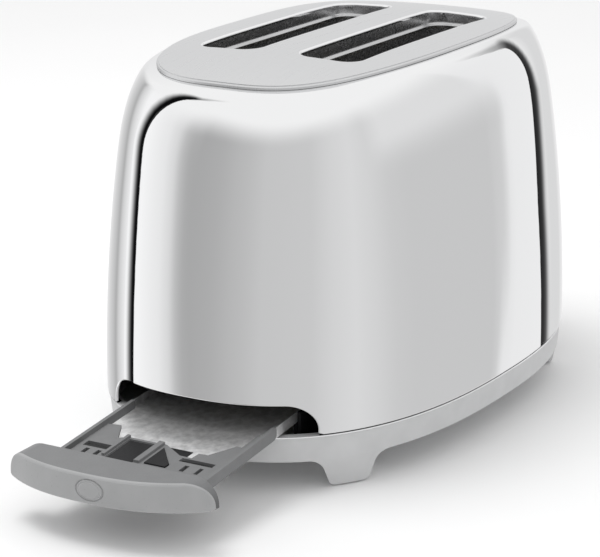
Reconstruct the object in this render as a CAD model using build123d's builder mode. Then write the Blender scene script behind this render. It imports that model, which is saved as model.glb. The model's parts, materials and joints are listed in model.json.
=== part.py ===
from build123d import *
import os
from math import cos, hypot, pi, radians, sin, sqrt, tan

os.makedirs("parts", exist_ok=True)

# Frame: +X runs along the bread slots towards the lever, -X towards the crumb tray,
# -Y is the broad side with the plain panel, +Z is up. The origin is on the table,
# under the middle of the body.

# Body outline in plan: an oval whose exponent squares its corners
body_half_length = 152.0
body_half_width = 95.0
body_exponent = 2.47
outline_points = 24

# Body in elevation: a slow bow up to the shoulder, then a rounded shoulder
skirt_bottom = 15.4
seam_height = 28.6
seam_gap = 0.5
shoulder_start = 150.0
shoulder_height = 47.0
shoulder_power = 2.5
wall_bow = 10.4
shoulder_inset = 22.0
width_taper = 0.885
body_shares = [0.0, 0.12, 0.24, 0.36, 0.48, 0.6, 0.72, 0.79, 0.85, 0.895, 0.93, 0.955, 0.972, 0.985]
shell_wall = 1.0
wall_clear = 5.0
flange_thickness = 1.3

# Creases that edge the raised panel: one on an end, one on a broad side
crease_width = 3.4
crease_bottom = 46.5
end_crease_y = 35.6
end_crease_top = 186.0
end_crease_finish = 4.0
end_crease_bend = 22.0
side_crease_foot_x = 46.3
side_crease_knee_x = 46.8
side_crease_knee_height = 105.0
side_crease_knee_bend = 150.0
side_crease_head_x = 55.5
side_crease_top = 190.4
side_crease_finish = 8.0
side_crease_bend = 12.0
crease_overlap = 1.5
lining_thickness = 2.0

# Top plate: an oval slab with a flat crown that falls away at its ends
plate_margin_end = 33.0
plate_margin_side = 29.0
plate_exponent = 2.93
plate_thickness = 1.5
crown_height = 198.0
crown_end_drop = 7.2
crown_side_drop = 2.6
crown_power = 3.5
crown_shares = [-1.0, -0.8, -0.7, -0.6, -0.5, -0.35, 0.35, 0.5, 0.6, 0.7, 0.8, 1.0]
plate_seat = 6.0
joint_thickness = 0.6
joint_gap = 0.05
joint_margin = 1.2

# Bread slots and their liners
slot_spacing = 56.7
slot_width = 33.8
slot_length = 144.6
slot_shift = 3.5
slot_corner = 2.5
liner_wall = 0.8
liner_bead = 1.2
liner_bead_depth = 18.0

# Base and feet
base_margin = 0.7
base_draw = 0.988
base_wall = 2.6
base_floor = 2.6
gasket_margin = 0.1
foot_draw = 0.961
foot_x = 112.0
foot_y = 67.0
foot_top_width = 28.0
foot_tip_width = 18.5
foot_depth = 26.0
foot_root_fillet = 8.0
foot_tip_fillet = 3.5
pad_x = 101.0
pad_y = 60.5
pad_radius = 6.0
pad_thickness = 2.0
pad_projection = 0.8
cover_length = 150.0
cover_width = 84.0
cover_thickness = 0.8
cover_lap = 8.0
cover_shift = 6.0
screw_radius = 1.45
screw_head_radius = 3.0
screw_head_height = 1.3

# Cord gland, low on the broad side away from the panel
gland_x = 60.0
gland_bore_radius = 3.4
gland_body_radius = 4.6
gland_flange_radius = 5.8
gland_flange_thickness = 2.4
gland_length = 14.0

# Crumb tray: it slides out and down along sloped guides, and stands pulled out
tray_centre = -5.0
tray_slope = 6.0
tray_pull = 87.5
tray_opening_half_width = 55.0
tray_opening_height = 15.0
tray_opening_corner = 12.5
tray_gap = 0.7
tray_lip = 0.3
front_depth = 24.0
front_wall = 2.2
front_ledge = 2.0
badge_length = 14.0
badge_height = 9.6
badge_recess = 0.6
badge_proud = 0.3
rail_height = 5.6
rail_width = 2.0
rail_half_span = 41.2
frame_end = 5.0
rail_end_radius = 3.0
web_thickness = 1.4
web_rise = 1.6
web_rear = -70.0
tongue_reach = -79.0
tongue_half_width = 28.0
ridge_rise = 1.4
pan_thickness = 0.6
pan_overhang = 0.5
pan_margin = 0.6
pan_start = -34.0
pan_end = 93.0
pan_wall_top = 0.4
sill_gap = 0.35
guide_thickness = 1.8
guide_foot = 3.5
guide_start = -126.0
guide_stop = 32.0

# Web of the tray in plan, on the tray's own axes: x inwards, y to the rear
web_edge = [
    (-1.0, -39.2), (-1.0, -35.0), (-15.3, -34.5), (-15.4, -31.8), (-28.8, -24.3),
    (-29.0, -19.6), (-34.5, -19.0), (-34.2, -12.3), (-27.0, -0.5), (-27.0, 21.6),
    (-30.0, 25.5), (-17.4, 32.1), (-18.3, 39.2),
]
web_ridges = [(-49.0, -27.0, 20.0, 21.6), (-49.0, -27.0, 0.6, 3.6)]
web_slots = [
    (-42.7, -37.8, 23.0, 36.8), (-39.4, -35.9, -33.3, -15.0), (-50.2, -44.7, 31.0, 33.4),
    (-50.2, -44.7, 24.2, 26.6), (-48.2, -42.1, -23.0, -20.6), (-48.2, -42.1, -30.8, -28.7),
]
latch_window = (-49.5, -28.5, 4.0, 19.6)
latch_plate = (-52.0, -26.5, -14.6, 21.0)
hook_outline = [(-48.0, -1.6), (-31.0, -1.6), (-44.5, -13.2), (-48.0, -13.2)]
latch_block_rise = 0.7
latch_hook_rise = 2.0

# Chassis
chassis_margin = 12.0
chassis_half_width = 58.0
chassis_sheet = 1.0
deck_height = 150.0
deck_reach = 23.0
deck_slot_gap = 1.5
tray_window_height = 57.0
tray_window_margin = 5.0

# Heaters and shields
heater_offset = 19.5
heater_sheet = 0.8
heater_bottom = 60.0
heater_top = 149.0
ribbon_width = 2.4
ribbon_thickness = 0.4
ribbon_rows = 10
ribbon_margin = 8.0
shield_offset = 54.0
shield_sheet = 0.6

# Bread guides: wire frames that close on the slice as the carriage goes down
guide_offset = 13.0
guide_travel = 5.0
guide_bar_radius = 1.0
guide_wire_radius = 0.8
guide_wires = 12
guide_low = 63.0
guide_high = 146.0
guide_overhang = 2.0

# Carriage: racks, bracket, lever
carriage_gap = 15.0
carriage_travel = 55.0
rack_height = 118.0
rack_depth = 6.0
rack_sheet = 1.5
rack_fingers = 8
finger_half_width = 6.0
finger_height = 3.0
rack_overhang = 2.2
bracket_sheet = 2.0
bracket_half_width = 46.0
bracket_bottom = 108.0
bracket_top = 124.0
bracket_lip = 1.0
boss_radius = 6.0
rod_radius = 2.5
rod_offset = 40.0
lever_height = 164.0
lever_arm_width = 4.0
lever_arm_height = 6.0
lever_tongue_half_width = 8.0
lever_slot_width = 6.4
lever_clearance = 3.0
lever_knob_gap = 2.0
lever_knob_length = 15.0
lever_knob_width = 34.0
lever_knob_height = 13.0
lever_knob_round = 3.0
lever_socket_depth = 9.0
bezel_width = 15.0
bezel_margin = 4.0
bezel_slot_width = 5.2

# Return spring round one guide rod
spring_radius = 4.6
spring_wire_radius = 0.6
spring_turns = 14

# Holding magnet and armature
magnet_width = 24.0
magnet_depth = 12.0
magnet_foot = 5.0
core_radius = 4.0
coil_radius = 9.5
coil_setback = 4.0
armature_width = 20.0
armature_depth = 12.0
armature_thickness = 2.0

# Browning dial and its potentiometer
dial_height = 58.0
dial_proud = 1.7
dial_radius = 23.0
dial_flange_radius = 25.0
dial_flange_thickness = 2.5
dial_depth = 12.0
dial_bore_radius = 9.0
dial_face = 2.0
knob_radius = 17.5
knob_length = 13.0
knob_gap = 0.5
knob_grip_count = 24
knob_grip_radius = 0.9
knob_round = 1.0
knob_socket_depth = 7.8
knob_mark_length = 9.0
knob_mark_offset = 10.5
knob_mark_width = 1.6
knob_mark_depth = 0.8
shaft_radius = 3.0
pot_radius = 8.0
pot_depth = 7.0
pot_bush_radius = 4.6
pot_bush_length = 6.0
board_setback = 26.0
board_thickness = 1.6
board_half_width = 32.0
board_top = 100.0

# Push buttons
button_height = 92.0
button_pitch = 17.0
button_radius = 5.5
button_flange = 0.9
button_proud = 2.6
button_travel = 2.0
button_stem_radius = 2.0
button_flange_thickness = 1.2
button_round = 0.8
button_bezel_length = 56.0
button_bezel_width = 18.0
button_bezel_proud = 1.5
button_bezel_thickness = 3.2
switch_depth = 2.3
switch_height = 8.0
switch_length = 48.0

# Terminal block by the gland
terminal_length = 26.0
terminal_depth = 12.0
terminal_height = 11.0
terminal_y = 62.0

# Fits
flat_gap = 0.3
slide_gap = 0.5
shaft_gap = 0.06

# Places worked out from the sizes above
plate_half_length = body_half_length - plate_margin_end
plate_half_width = body_half_width - plate_margin_side
exponent_rise = plate_exponent - body_exponent
shell_bottom = seam_height + seam_gap
body_top = shoulder_start + shoulder_height
base_half_length = body_half_length - base_margin
base_half_width = body_half_width - base_margin
floor_top = skirt_bottom + base_floor
slot_side = slot_spacing / 2
slot_x0 = slot_shift - slot_length / 2
slot_x1 = slot_shift + slot_length / 2
end_left = slot_x0 - chassis_margin
end_right = slot_x1 + chassis_margin
carriage_x = end_right + carriage_gap
rod_x = carriage_x + bracket_sheet / 2
slot_sides = [-slot_side, slot_side]


def shoulder_rise(height):
    """Share of the shoulder's height that lies under a height."""
    return min(max((height - shoulder_start) / shoulder_height, 0.0), 1.0)


def wall_inset(height):
    """How far the shell has drawn in from the body outline at a height."""
    bow = wall_bow * ((height - seam_height) / (shoulder_start - seam_height)) ** 2
    roll = 1 - (1 - shoulder_rise(height) ** shoulder_power) ** (1 / shoulder_power)
    return bow + shoulder_inset * roll


def shell_reach(height):
    """Half length of the shell at a height."""
    return body_half_length - wall_inset(height)


def oval_reach(half_length, half_width, exponent, y):
    """Half length of an oval outline at a distance from its long axis."""
    return half_length * (1 - abs(y / half_width) ** exponent) ** (1 / exponent)


def oval_point(half_length, half_width, exponent, turn):
    """Point of an oval outline at a share of a whole turn."""
    along = cos(2 * pi * turn)
    across = sin(2 * pi * turn)
    scale = (abs(along) ** exponent + abs(across) ** exponent) ** (-1 / exponent)
    return (half_length * along * scale, half_width * across * scale)


def oval(half_length, half_width, exponent, plane):
    """Face of an oval outline on a plane."""
    shares = [k / outline_points for k in range(outline_points)]
    points = [oval_point(half_length, half_width, exponent, share) for share in shares]
    with BuildSketch(plane, mode=Mode.PRIVATE) as outline:
        with BuildLine():
            Spline(*points, periodic=True)
        make_face()
    return outline.sketch


def body_ring(height, skin):
    """Section of the body, moved in by a skin thickness."""
    inset = wall_inset(height + skin)
    exponent = body_exponent + exponent_rise * min(inset / plate_margin_end, 1.0)
    half_length = body_half_length - inset - skin
    half_width = body_half_width - inset * width_taper - skin
    return oval(half_length, half_width, exponent, Plane.XY.offset(height))


def crown_at(x, y):
    """Height of the crowned top over a place in plan."""
    end_fall = crown_end_drop * (abs(x) / plate_half_length) ** crown_power
    side_fall = crown_side_drop * (y / plate_half_width) ** 2
    return crown_height - end_fall - side_fall


def crown_section(x, upper, lower):
    """Cross-section of the crown at one place along it, between two depths."""
    side = body_half_width + wall_clear
    rim = crown_at(x, side)
    top = crown_at(x, 0)
    with BuildSketch(Plane.YZ.offset(x), mode=Mode.PRIVATE) as section:
        with BuildLine():
            ThreePointArc((-side, rim - upper), (0, top - upper), (side, rim - upper))
            Line((side, rim - upper), (side, rim - lower))
            ThreePointArc((side, rim - lower), (0, top - lower), (-side, rim - lower))
            Line((-side, rim - lower), (-side, rim - upper))
        make_face()
    return section.sketch


def crown_slab(upper, lower):
    """Slab that follows the crown, from one depth under it to another."""
    ends = body_half_length + wall_clear
    places = [share * ends for share in crown_shares]
    with BuildPart(mode=Mode.PRIVATE) as slab:
        loft(sections=[crown_section(x, upper, lower) for x in places], ruled=True)
    return slab.part


def body_solid(skin, depth):
    """The body's shape, moved in by a skin and cut off at a depth under the crown."""
    span = body_top - skin - shell_bottom
    heights = [shell_bottom + share * span for share in body_shares]
    with BuildPart(mode=Mode.PRIVATE) as body:
        loft(sections=[body_ring(height, skin) for height in heights], ruled=True)
        add(crown_slab(depth, crown_height), mode=Mode.INTERSECT)
    return body.part


def plate_oval(margin, height):
    """Face of the top plate's outline, moved in by a margin."""
    half_length = plate_half_length - margin
    half_width = plate_half_width - margin
    return oval(half_length, half_width, plate_exponent, Plane.XY.offset(height))


def slot_outline(growth, height):
    """Both bread slot openings, grown all round."""
    with BuildSketch(Plane.XY.offset(height), mode=Mode.PRIVATE) as outline:
        with Locations(*[(slot_shift, side) for side in slot_sides]):
            RectangleRounded(slot_length + 2 * growth, slot_width + 2 * growth, slot_corner)
    return outline.sketch


def end_crease(width, turned, x):
    """Outline of the crease on an end, seen along X."""
    side = -1 if turned else 1
    start = (side * end_crease_y, crease_bottom)
    corner = (side * end_crease_y, end_crease_top)
    finish = (side * end_crease_finish, end_crease_top)
    with BuildSketch(Plane.YZ.offset(x), mode=Mode.PRIVATE) as outline:
        with BuildLine():
            FilletPolyline(start, corner, finish, radius=end_crease_bend)
        trace(line_width=width)
    return outline.sketch


def side_crease(width, turned, y):
    """Outline of the crease on a broad side, seen along Y."""
    side = -1 if turned else 1
    start = (side * side_crease_foot_x, shell_bottom + crease_width)
    knee = (side * side_crease_knee_x, side_crease_knee_height)
    corner = (side * side_crease_head_x, side_crease_top)
    finish = (side * side_crease_finish, side_crease_top)
    with BuildSketch(Plane.XZ.offset(-y), mode=Mode.PRIVATE) as outline:
        with BuildLine():
            bends = [side_crease_knee_bend, side_crease_bend]
            FilletPolyline(start, knee, corner, finish, radius=bends)
        trace(line_width=width)
    return outline.sketch


def creases(width):
    """Bars that pass through the shell along its four creases."""
    end_near = plate_half_length - plate_seat - joint_margin
    end_far = body_half_length + wall_clear
    side_near = plate_half_width - plate_seat - joint_margin
    side_far = body_half_width + wall_clear
    with BuildPart(mode=Mode.PRIVATE) as bars:
        extrude(end_crease(width, False, -end_far), end_far - end_near)
        extrude(end_crease(width, True, end_near), end_far - end_near)
        extrude(side_crease(width, False, -side_near), side_far - side_near)
        extrude(side_crease(width, True, side_far), side_far - side_near)
    return bars.part


# Tray frame of reference: x runs inwards and up along the slide, z is square to it
tray_rise = radians(tray_slope)
tray_top = seam_height + sill_gap + rail_height / cos(tray_rise)
tray_plane = Plane(
    origin=(-body_half_length + 2, tray_centre, tray_top),
    x_dir=(cos(tray_rise), 0, sin(tray_rise)),
    z_dir=(-sin(tray_rise), 0, cos(tray_rise)),
)
pull_x = tray_pull * cos(tray_rise)
pull_z = tray_pull * sin(tray_rise)
front_bottom = shell_bottom + tray_lip - pull_z
front_height = tray_opening_height - tray_gap - tray_lip
front_half_width = tray_opening_half_width - tray_gap
front_half_length = body_half_length - tray_lip
front_back = -body_half_length - pull_x + front_depth


def arch(half_width, bottom, height, corner, x):
    """Flat-bottomed outline with large upper corners, centred on the tray, seen along X."""
    with BuildSketch(Plane.YZ.offset(x), mode=Mode.PRIVATE) as outline:
        with Locations((tray_centre, bottom + height / 2)):
            Rectangle(2 * half_width, height)
        fillet(outline.vertices().group_by(Axis.Y)[-1], radius=corner)
    return outline.sketch


def tray_passage():
    """Bar through the end wall where the tray passes."""
    start = -body_half_length - wall_clear
    top = shell_bottom + tray_opening_height
    outline = arch(tray_opening_half_width, 0, top, tray_opening_corner, start)
    with BuildPart(mode=Mode.PRIVATE) as bar:
        extrude(outline, body_half_length / 2)
    return bar.part


# Outer shell: one drawn sheet with a flange under the top plate
joint_depth = plate_thickness + joint_thickness
shell_inside = body_solid(shell_wall, joint_depth + flange_thickness)
dial_x = shell_reach(dial_height) + dial_proud
button_x = shell_reach(button_height) + button_bezel_proud
lever_low = lever_height - carriage_travel
lever_slot_height = carriage_travel + lever_arm_height + 2 * lever_clearance
lever_slot_middle = (lever_height + lever_low) / 2


def lever_slot(width, height):
    """Upright slot that the lever runs in, seen along X."""
    with BuildSketch(Plane.YZ, mode=Mode.PRIVATE) as outline:
        with Locations((0, lever_slot_middle)):
            SlotOverall(height, width, rotation=90)
    return outline.sketch


def button_bezel_outline(growth, x):
    """Outline of the button bezel, seen along X."""
    with BuildSketch(Plane.YZ.offset(x), mode=Mode.PRIVATE) as outline:
        with Locations((0, button_height)):
            SlotOverall(button_bezel_length + 2 * growth, button_bezel_width + 2 * growth)
    return outline.sketch


def dial_disc(radius, x, thickness):
    """Round slab about the dial's axis, from a place along it."""
    with BuildPart(mode=Mode.PRIVATE) as disc:
        with BuildSketch(Plane.YZ.offset(x)):
            with Locations((0, dial_height)):
                Circle(radius)
        extrude(amount=thickness)
    return disc.part


far_end = body_half_length + wall_clear
with BuildPart() as outer_shell:
    add(body_solid(0, joint_depth))
    add(shell_inside, mode=Mode.SUBTRACT)
    extrude(plate_oval(plate_seat, shoulder_start), crown_height, mode=Mode.SUBTRACT)
    add(tray_passage(), mode=Mode.SUBTRACT)
    add(dial_disc(dial_radius + flat_gap, 0, far_end), mode=Mode.SUBTRACT)
    extrude(button_bezel_outline(flat_gap, 0), far_end, mode=Mode.SUBTRACT)
    extrude(lever_slot(lever_slot_width, lever_slot_height), far_end, mode=Mode.SUBTRACT)
    add(creases(crease_width), mode=Mode.SUBTRACT)
outer_shell.part.label = "outer_shell"
export_step(outer_shell.part, "parts/outer_shell.step")

# Dark strips that close the creases from inside
lining_inside = body_solid(shell_wall + lining_thickness, joint_depth + flange_thickness + lining_thickness)
with BuildPart() as crease_strips:
    add(creases(crease_width + 2 * crease_overlap))
    add(shell_inside, mode=Mode.INTERSECT)
    add(lining_inside, mode=Mode.SUBTRACT)
crease_strips.part.label = "crease_strips"
export_step(crease_strips.part, "parts/crease_strips.step")

# Bezel behind the lever's slot
with BuildPart() as lever_bezel:
    extrude(lever_slot(bezel_width, lever_slot_height + 2 * bezel_margin), far_end)
    add(shell_inside, mode=Mode.INTERSECT)
    add(lining_inside, mode=Mode.SUBTRACT)
    extrude(lever_slot(bezel_slot_width, lever_slot_height), far_end, mode=Mode.SUBTRACT)
lever_bezel.part.label = "lever_bezel"
export_step(lever_bezel.part, "parts/lever_bezel.step")

# Top plate and the dark joint under its rim
with BuildPart() as top_plate:
    add(crown_slab(0, plate_thickness))
    extrude(plate_oval(0, shoulder_start), crown_height, mode=Mode.INTERSECT)
    extrude(slot_outline(0, shoulder_start), crown_height, mode=Mode.SUBTRACT)
top_plate.part.label = "top_plate"
export_step(top_plate.part, "parts/top_plate.step")

with BuildPart() as plate_joint:
    add(crown_slab(plate_thickness + joint_gap, joint_depth - joint_gap))
    extrude(plate_oval(joint_margin, shoulder_start), crown_height, mode=Mode.INTERSECT)
    extrude(plate_oval(plate_seat, shoulder_start), crown_height, mode=Mode.SUBTRACT)
plate_joint.part.label = "plate_joint"
export_step(plate_joint.part, "parts/plate_joint.step")

# Slot liners stand on the chassis deck and follow the underside of the plate
deck_top = deck_height + chassis_sheet
liner_names = ["front", "rear"]
crown_cover = crown_slab(-wall_clear, plate_thickness + flat_gap)


def liner_ring(outer, inner, side, height):
    """Ring round one bread slot, grown outwards and inwards from the slot's outline."""
    with BuildSketch(Plane.XY.offset(height), mode=Mode.PRIVATE) as ring:
        with Locations((slot_shift, side)):
            RectangleRounded(slot_length + 2 * outer, slot_width + 2 * outer, slot_corner + outer)
            RectangleRounded(
                slot_length - 2 * inner, slot_width - 2 * inner, slot_corner - inner,
                mode=Mode.SUBTRACT,
            )
    return ring.sketch


for side, name in zip(slot_sides, liner_names):
    with BuildPart() as slot_liner:
        extrude(liner_ring(liner_wall, 0, side, deck_top), crown_height - deck_top)
        bead_height = crown_height - plate_thickness - liner_bead_depth
        extrude(liner_ring(liner_wall / 2, liner_bead, side, bead_height), liner_bead)
        add(crown_cover, mode=Mode.SUBTRACT)
    slot_liner.part.label = "slot_liner_" + name
    export_step(slot_liner.part, "parts/slot_liner_" + name + ".step")


# Base: a tub with a drawn-in skirt and four feet moulded in
def base_oval(share, height):
    """Outline of the base skirt, drawn in by a share."""
    return oval(
        base_half_length * share, base_half_width * share, body_exponent,
        Plane.XY.offset(height),
    )


def foot_plane(side_x, side_y):
    """Upright plane square to a foot's corner, looking out."""
    reach = hypot(foot_x, foot_y)
    out = (side_x * foot_x / reach, side_y * foot_y / reach)
    return Plane(
        origin=(side_x * foot_x, side_y * foot_y, 0),
        x_dir=(-out[1], out[0], 0),
        z_dir=(out[0], out[1], 0),
    )


def foot_outline(plane):
    """Tapered foot with a filleted root, seen from outside."""
    root = skirt_bottom + base_floor / 2
    wide = foot_top_width / 2
    tip = foot_tip_width / 2
    far = wide + foot_root_fillet + base_wall
    with BuildSketch(plane, mode=Mode.PRIVATE) as outline:
        with BuildLine():
            FilletPolyline(
                (-far, skirt_bottom), (-wide, skirt_bottom), (-tip, pad_projection),
                (tip, pad_projection), (wide, skirt_bottom), (far, skirt_bottom),
                radius=[foot_root_fillet, foot_tip_fillet, foot_tip_fillet, foot_root_fillet],
            )
            Polyline((far, skirt_bottom), (far, root), (-far, root), (-far, skirt_bottom))
        make_face()
    return outline.sketch


corners = [(-1, -1), (1, -1), (1, 1), (-1, 1)]
with BuildPart() as foot_envelope:
    loft(sections=[base_oval(foot_draw, 0), base_oval(base_draw, skirt_bottom)])
    extrude(base_oval(base_draw, skirt_bottom), base_floor)
with BuildPart() as feet:
    for corner in corners:
        extrude(foot_outline(foot_plane(*corner)), foot_depth, both=True)
    add(foot_envelope.part, mode=Mode.INTERSECT)

gland_z = (skirt_bottom + seam_height) / 2
gland_reach = oval_reach(
    base_half_width, base_half_length, body_exponent, gland_x - gland_flange_radius
)
with BuildPart() as base_housing:
    loft(sections=[base_oval(base_draw, skirt_bottom), base_oval(1, seam_height)])
    inside = oval(
        base_half_length * base_draw - base_wall, base_half_width * base_draw - base_wall,
        body_exponent, Plane.XY.offset(floor_top),
    )
    extrude(inside, seam_height, mode=Mode.SUBTRACT)
    add(feet.part)
    with BuildSketch(Plane.XY):
        with Locations((cover_shift, 0)):
            Rectangle(cover_length - 2 * cover_lap, cover_width - 2 * cover_lap)
    extrude(amount=seam_height, mode=Mode.SUBTRACT)
    with Locations(*[(x * pad_x, y * pad_y, pad_projection) for x, y in corners]):
        Cylinder(
            pad_radius + flat_gap, pad_thickness - pad_projection,
            align=(Align.CENTER, Align.CENTER, Align.MIN), mode=Mode.SUBTRACT,
        )
    screw_x = cover_length / 2 - cover_lap / 2
    screw_y = cover_width / 2 - cover_lap / 2
    screw_places = [
        (cover_shift + side_x * screw_x, side_y * screw_y) for side_x, side_y in corners
    ]
    with Locations(*[(x, y, skirt_bottom) for x, y in screw_places]):
        Cylinder(
            screw_radius + shaft_gap, base_floor,
            align=(Align.CENTER, Align.CENTER, Align.MIN), mode=Mode.SUBTRACT,
        )
    with BuildSketch(Plane.XZ.offset(-gland_reach + gland_length)):
        with Locations((gland_x, gland_z)):
            Circle(gland_body_radius + shaft_gap)
    extrude(amount=-2 * gland_length, mode=Mode.SUBTRACT)
base_housing.part.label = "base_housing"
export_step(base_housing.part, "parts/base_housing.step")

with BuildPart() as foot_pads:
    with Locations(*[(x * pad_x, y * pad_y, 0) for x, y in corners]):
        Cylinder(pad_radius, pad_thickness, align=(Align.CENTER, Align.CENTER, Align.MIN))
foot_pads.part.label = "foot_pads"
export_step(foot_pads.part, "parts/foot_pads.step")

with BuildPart() as floor_cover:
    with BuildSketch(Plane.XY.offset(skirt_bottom - cover_thickness)):
        with Locations((cover_shift, 0)):
            RectangleRounded(cover_length, cover_width, cover_lap / 2)
        with Locations(*screw_places):
            Circle(screw_radius + shaft_gap, mode=Mode.SUBTRACT)
    extrude(amount=cover_thickness)
floor_cover.part.label = "floor_cover"
export_step(floor_cover.part, "parts/floor_cover.step")

screw_head_top = skirt_bottom - cover_thickness
with BuildPart() as cover_screws:
    with Locations(*[(x, y, screw_head_top) for x, y in screw_places]):
        Cylinder(
            screw_head_radius, screw_head_height,
            align=(Align.CENTER, Align.CENTER, Align.MAX),
        )
        Cylinder(
            screw_radius, cover_thickness + base_floor,
            align=(Align.CENTER, Align.CENTER, Align.MIN),
        )
cover_screws.part.label = "cover_screws"
export_step(cover_screws.part, "parts/cover_screws.step")

# Seam gasket between the base and the shell, open where the tray passes
with BuildPart() as seam_gasket:
    outer = oval(
        base_half_length - gasket_margin, base_half_width - gasket_margin, body_exponent,
        Plane.XY.offset(seam_height),
    )
    extrude(outer, seam_gap)
    inner = oval(
        base_half_length - base_wall, base_half_width - base_wall, body_exponent,
        Plane.XY.offset(seam_height),
    )
    extrude(inner, seam_gap, mode=Mode.SUBTRACT)
    add(tray_passage(), mode=Mode.SUBTRACT)
seam_gasket.part.label = "seam_gasket"
export_step(seam_gasket.part, "parts/seam_gasket.step")

with BuildPart() as cord_gland:
    with BuildSketch(Plane.XZ.offset(-gland_reach)):
        with Locations((gland_x, gland_z)):
            Circle(gland_flange_radius)
    extrude(amount=-gland_flange_thickness)
    with BuildSketch(Plane.XZ.offset(-gland_reach)):
        with Locations((gland_x, gland_z)):
            Circle(gland_body_radius)
    extrude(amount=gland_length - gland_flange_thickness)
    with BuildSketch(Plane.XZ.offset(-gland_reach - gland_flange_thickness)):
        with Locations((gland_x, gland_z)):
            Circle(gland_bore_radius)
    extrude(amount=gland_length, mode=Mode.SUBTRACT)
cord_gland.part.label = "cord_gland"
export_step(cord_gland.part, "parts/cord_gland.step")


# Tray front: a hollow moulding whose outside carries on the body's outline
front_hollow_height = front_height - front_ledge
with BuildPart() as front_hollow:
    inner_arch = arch(
        front_half_width - front_wall, front_bottom, front_hollow_height,
        tray_opening_corner - tray_gap - front_wall, front_back,
    )
    extrude(inner_arch, -2 * front_depth)
    inner_oval = oval(
        front_half_length - front_wall, body_half_width - tray_lip - front_wall, body_exponent,
        Plane((-pull_x, 0, front_bottom)),
    )
    extrude(inner_oval, front_height, mode=Mode.INTERSECT)
    split(bisect_by=tray_plane.offset(web_rise - rail_height), keep=Keep.TOP)

badge_z = front_bottom + front_height / 2
front_face = -pull_x - oval_reach(
    front_half_length, body_half_width - tray_lip, body_exponent, abs(tray_centre) + badge_length / 2
)


def badge_outline(growth, x):
    """Oval of the push pad, grown all round."""
    with BuildSketch(Plane.YZ.offset(x), mode=Mode.PRIVATE) as outline:
        with Locations((tray_centre, badge_z)):
            Ellipse(badge_length / 2 + growth, badge_height / 2 + growth)
    return outline.sketch


with BuildPart() as tray_front:
    outer_arch = arch(
        front_half_width, front_bottom, front_height, tray_opening_corner - tray_gap, front_back
    )
    extrude(outer_arch, -2 * front_depth)
    outer_oval = oval(
        front_half_length, body_half_width - tray_lip, body_exponent,
        Plane((-pull_x, 0, front_bottom)),
    )
    extrude(outer_oval, front_height, mode=Mode.INTERSECT)
    split(bisect_by=tray_plane.offset(-rail_height), keep=Keep.TOP)
    add(front_hollow.part, mode=Mode.SUBTRACT)
    extrude(badge_outline(0, front_face + badge_recess), -front_depth, mode=Mode.SUBTRACT)
tray_front.part.label = "tray_front"
export_step(tray_front.part, "parts/tray_front.step")

with BuildPart() as tray_badge:
    extrude(badge_outline(-shaft_gap, front_face + badge_recess), -badge_recess - badge_proud)
tray_badge.part.label = "tray_badge"
export_step(tray_badge.part, "parts/tray_badge.step")


# Tray frame: two rails and the web that joins them behind the front
def tray_level(rise):
    """Plane of the tray at a height over the rails' underside."""
    return tray_plane.offset(rise - rail_height)


def box_spots(boxes):
    """Middles of boxes that are given by their two corners in plan."""
    return [((x0 + x1) / 2, (y0 + y1) / 2) for x0, x1, y0, y1 in boxes]


def tray_boxes(boxes, rise, growth=0.0):
    """Rectangles on the tray, each given by its two corners in plan."""
    with BuildSketch(tray_level(rise), mode=Mode.PRIVATE) as outline:
        for spot, (x0, x1, y0, y1) in zip(box_spots(boxes), boxes):
            with Locations(spot):
                Rectangle(x1 - x0 + 2 * growth, y1 - y0 + 2 * growth)
    return outline.sketch


rail_inner = rail_half_span - rail_width
with BuildPart() as tray_frame:
    rail_boxes = [
        (2 * web_rear, frame_end, -rail_half_span, -rail_inner),
        (2 * web_rear, frame_end, rail_inner, rail_half_span),
    ]
    extrude(tray_boxes(rail_boxes, 0), rail_height)
    split(bisect_by=Plane.YZ.offset(front_back), keep=Keep.TOP)
    rail_ends = tray_frame.edges().filter_by(Axis.Y).group_by(Axis.X)[-1]
    fillet(rail_ends, radius=rail_end_radius)
    with BuildSketch(tray_level(web_rise)):
        with BuildLine():
            Polyline(
                (web_rear, rail_inner), (web_rear, tongue_half_width),
                (tongue_reach, tongue_half_width), (tongue_reach, -tongue_half_width),
                (web_rear, -tongue_half_width), (web_rear, -rail_inner),
                *web_edge, (web_rear, rail_inner),
            )
        make_face()
    extrude(amount=web_thickness)
    extrude(tray_boxes(web_ridges, web_rise + web_thickness), ridge_rise)
    extrude(tray_boxes([latch_window] + web_slots, 0), rail_height, mode=Mode.SUBTRACT)
    with BuildSketch(tray_level(0)):
        Polygon(*hook_outline, align=None)
        offset(amount=flat_gap)
    extrude(amount=rail_height, mode=Mode.SUBTRACT)
tray_frame.part.label = "tray_frame"
export_step(tray_frame.part, "parts/tray_frame.step")

# Latch: a plate under the web, with a block in the window and a hook beside it
with BuildPart() as tray_latch:
    extrude(tray_boxes([latch_plate], 0), web_rise)
    extrude(tray_boxes([latch_window], web_rise, -flat_gap), latch_block_rise)
    with BuildSketch(tray_level(web_rise)):
        Polygon(*hook_outline, align=None)
    extrude(amount=latch_hook_rise)
tray_latch.part.label = "tray_latch"
export_step(tray_latch.part, "parts/tray_latch.step")

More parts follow.
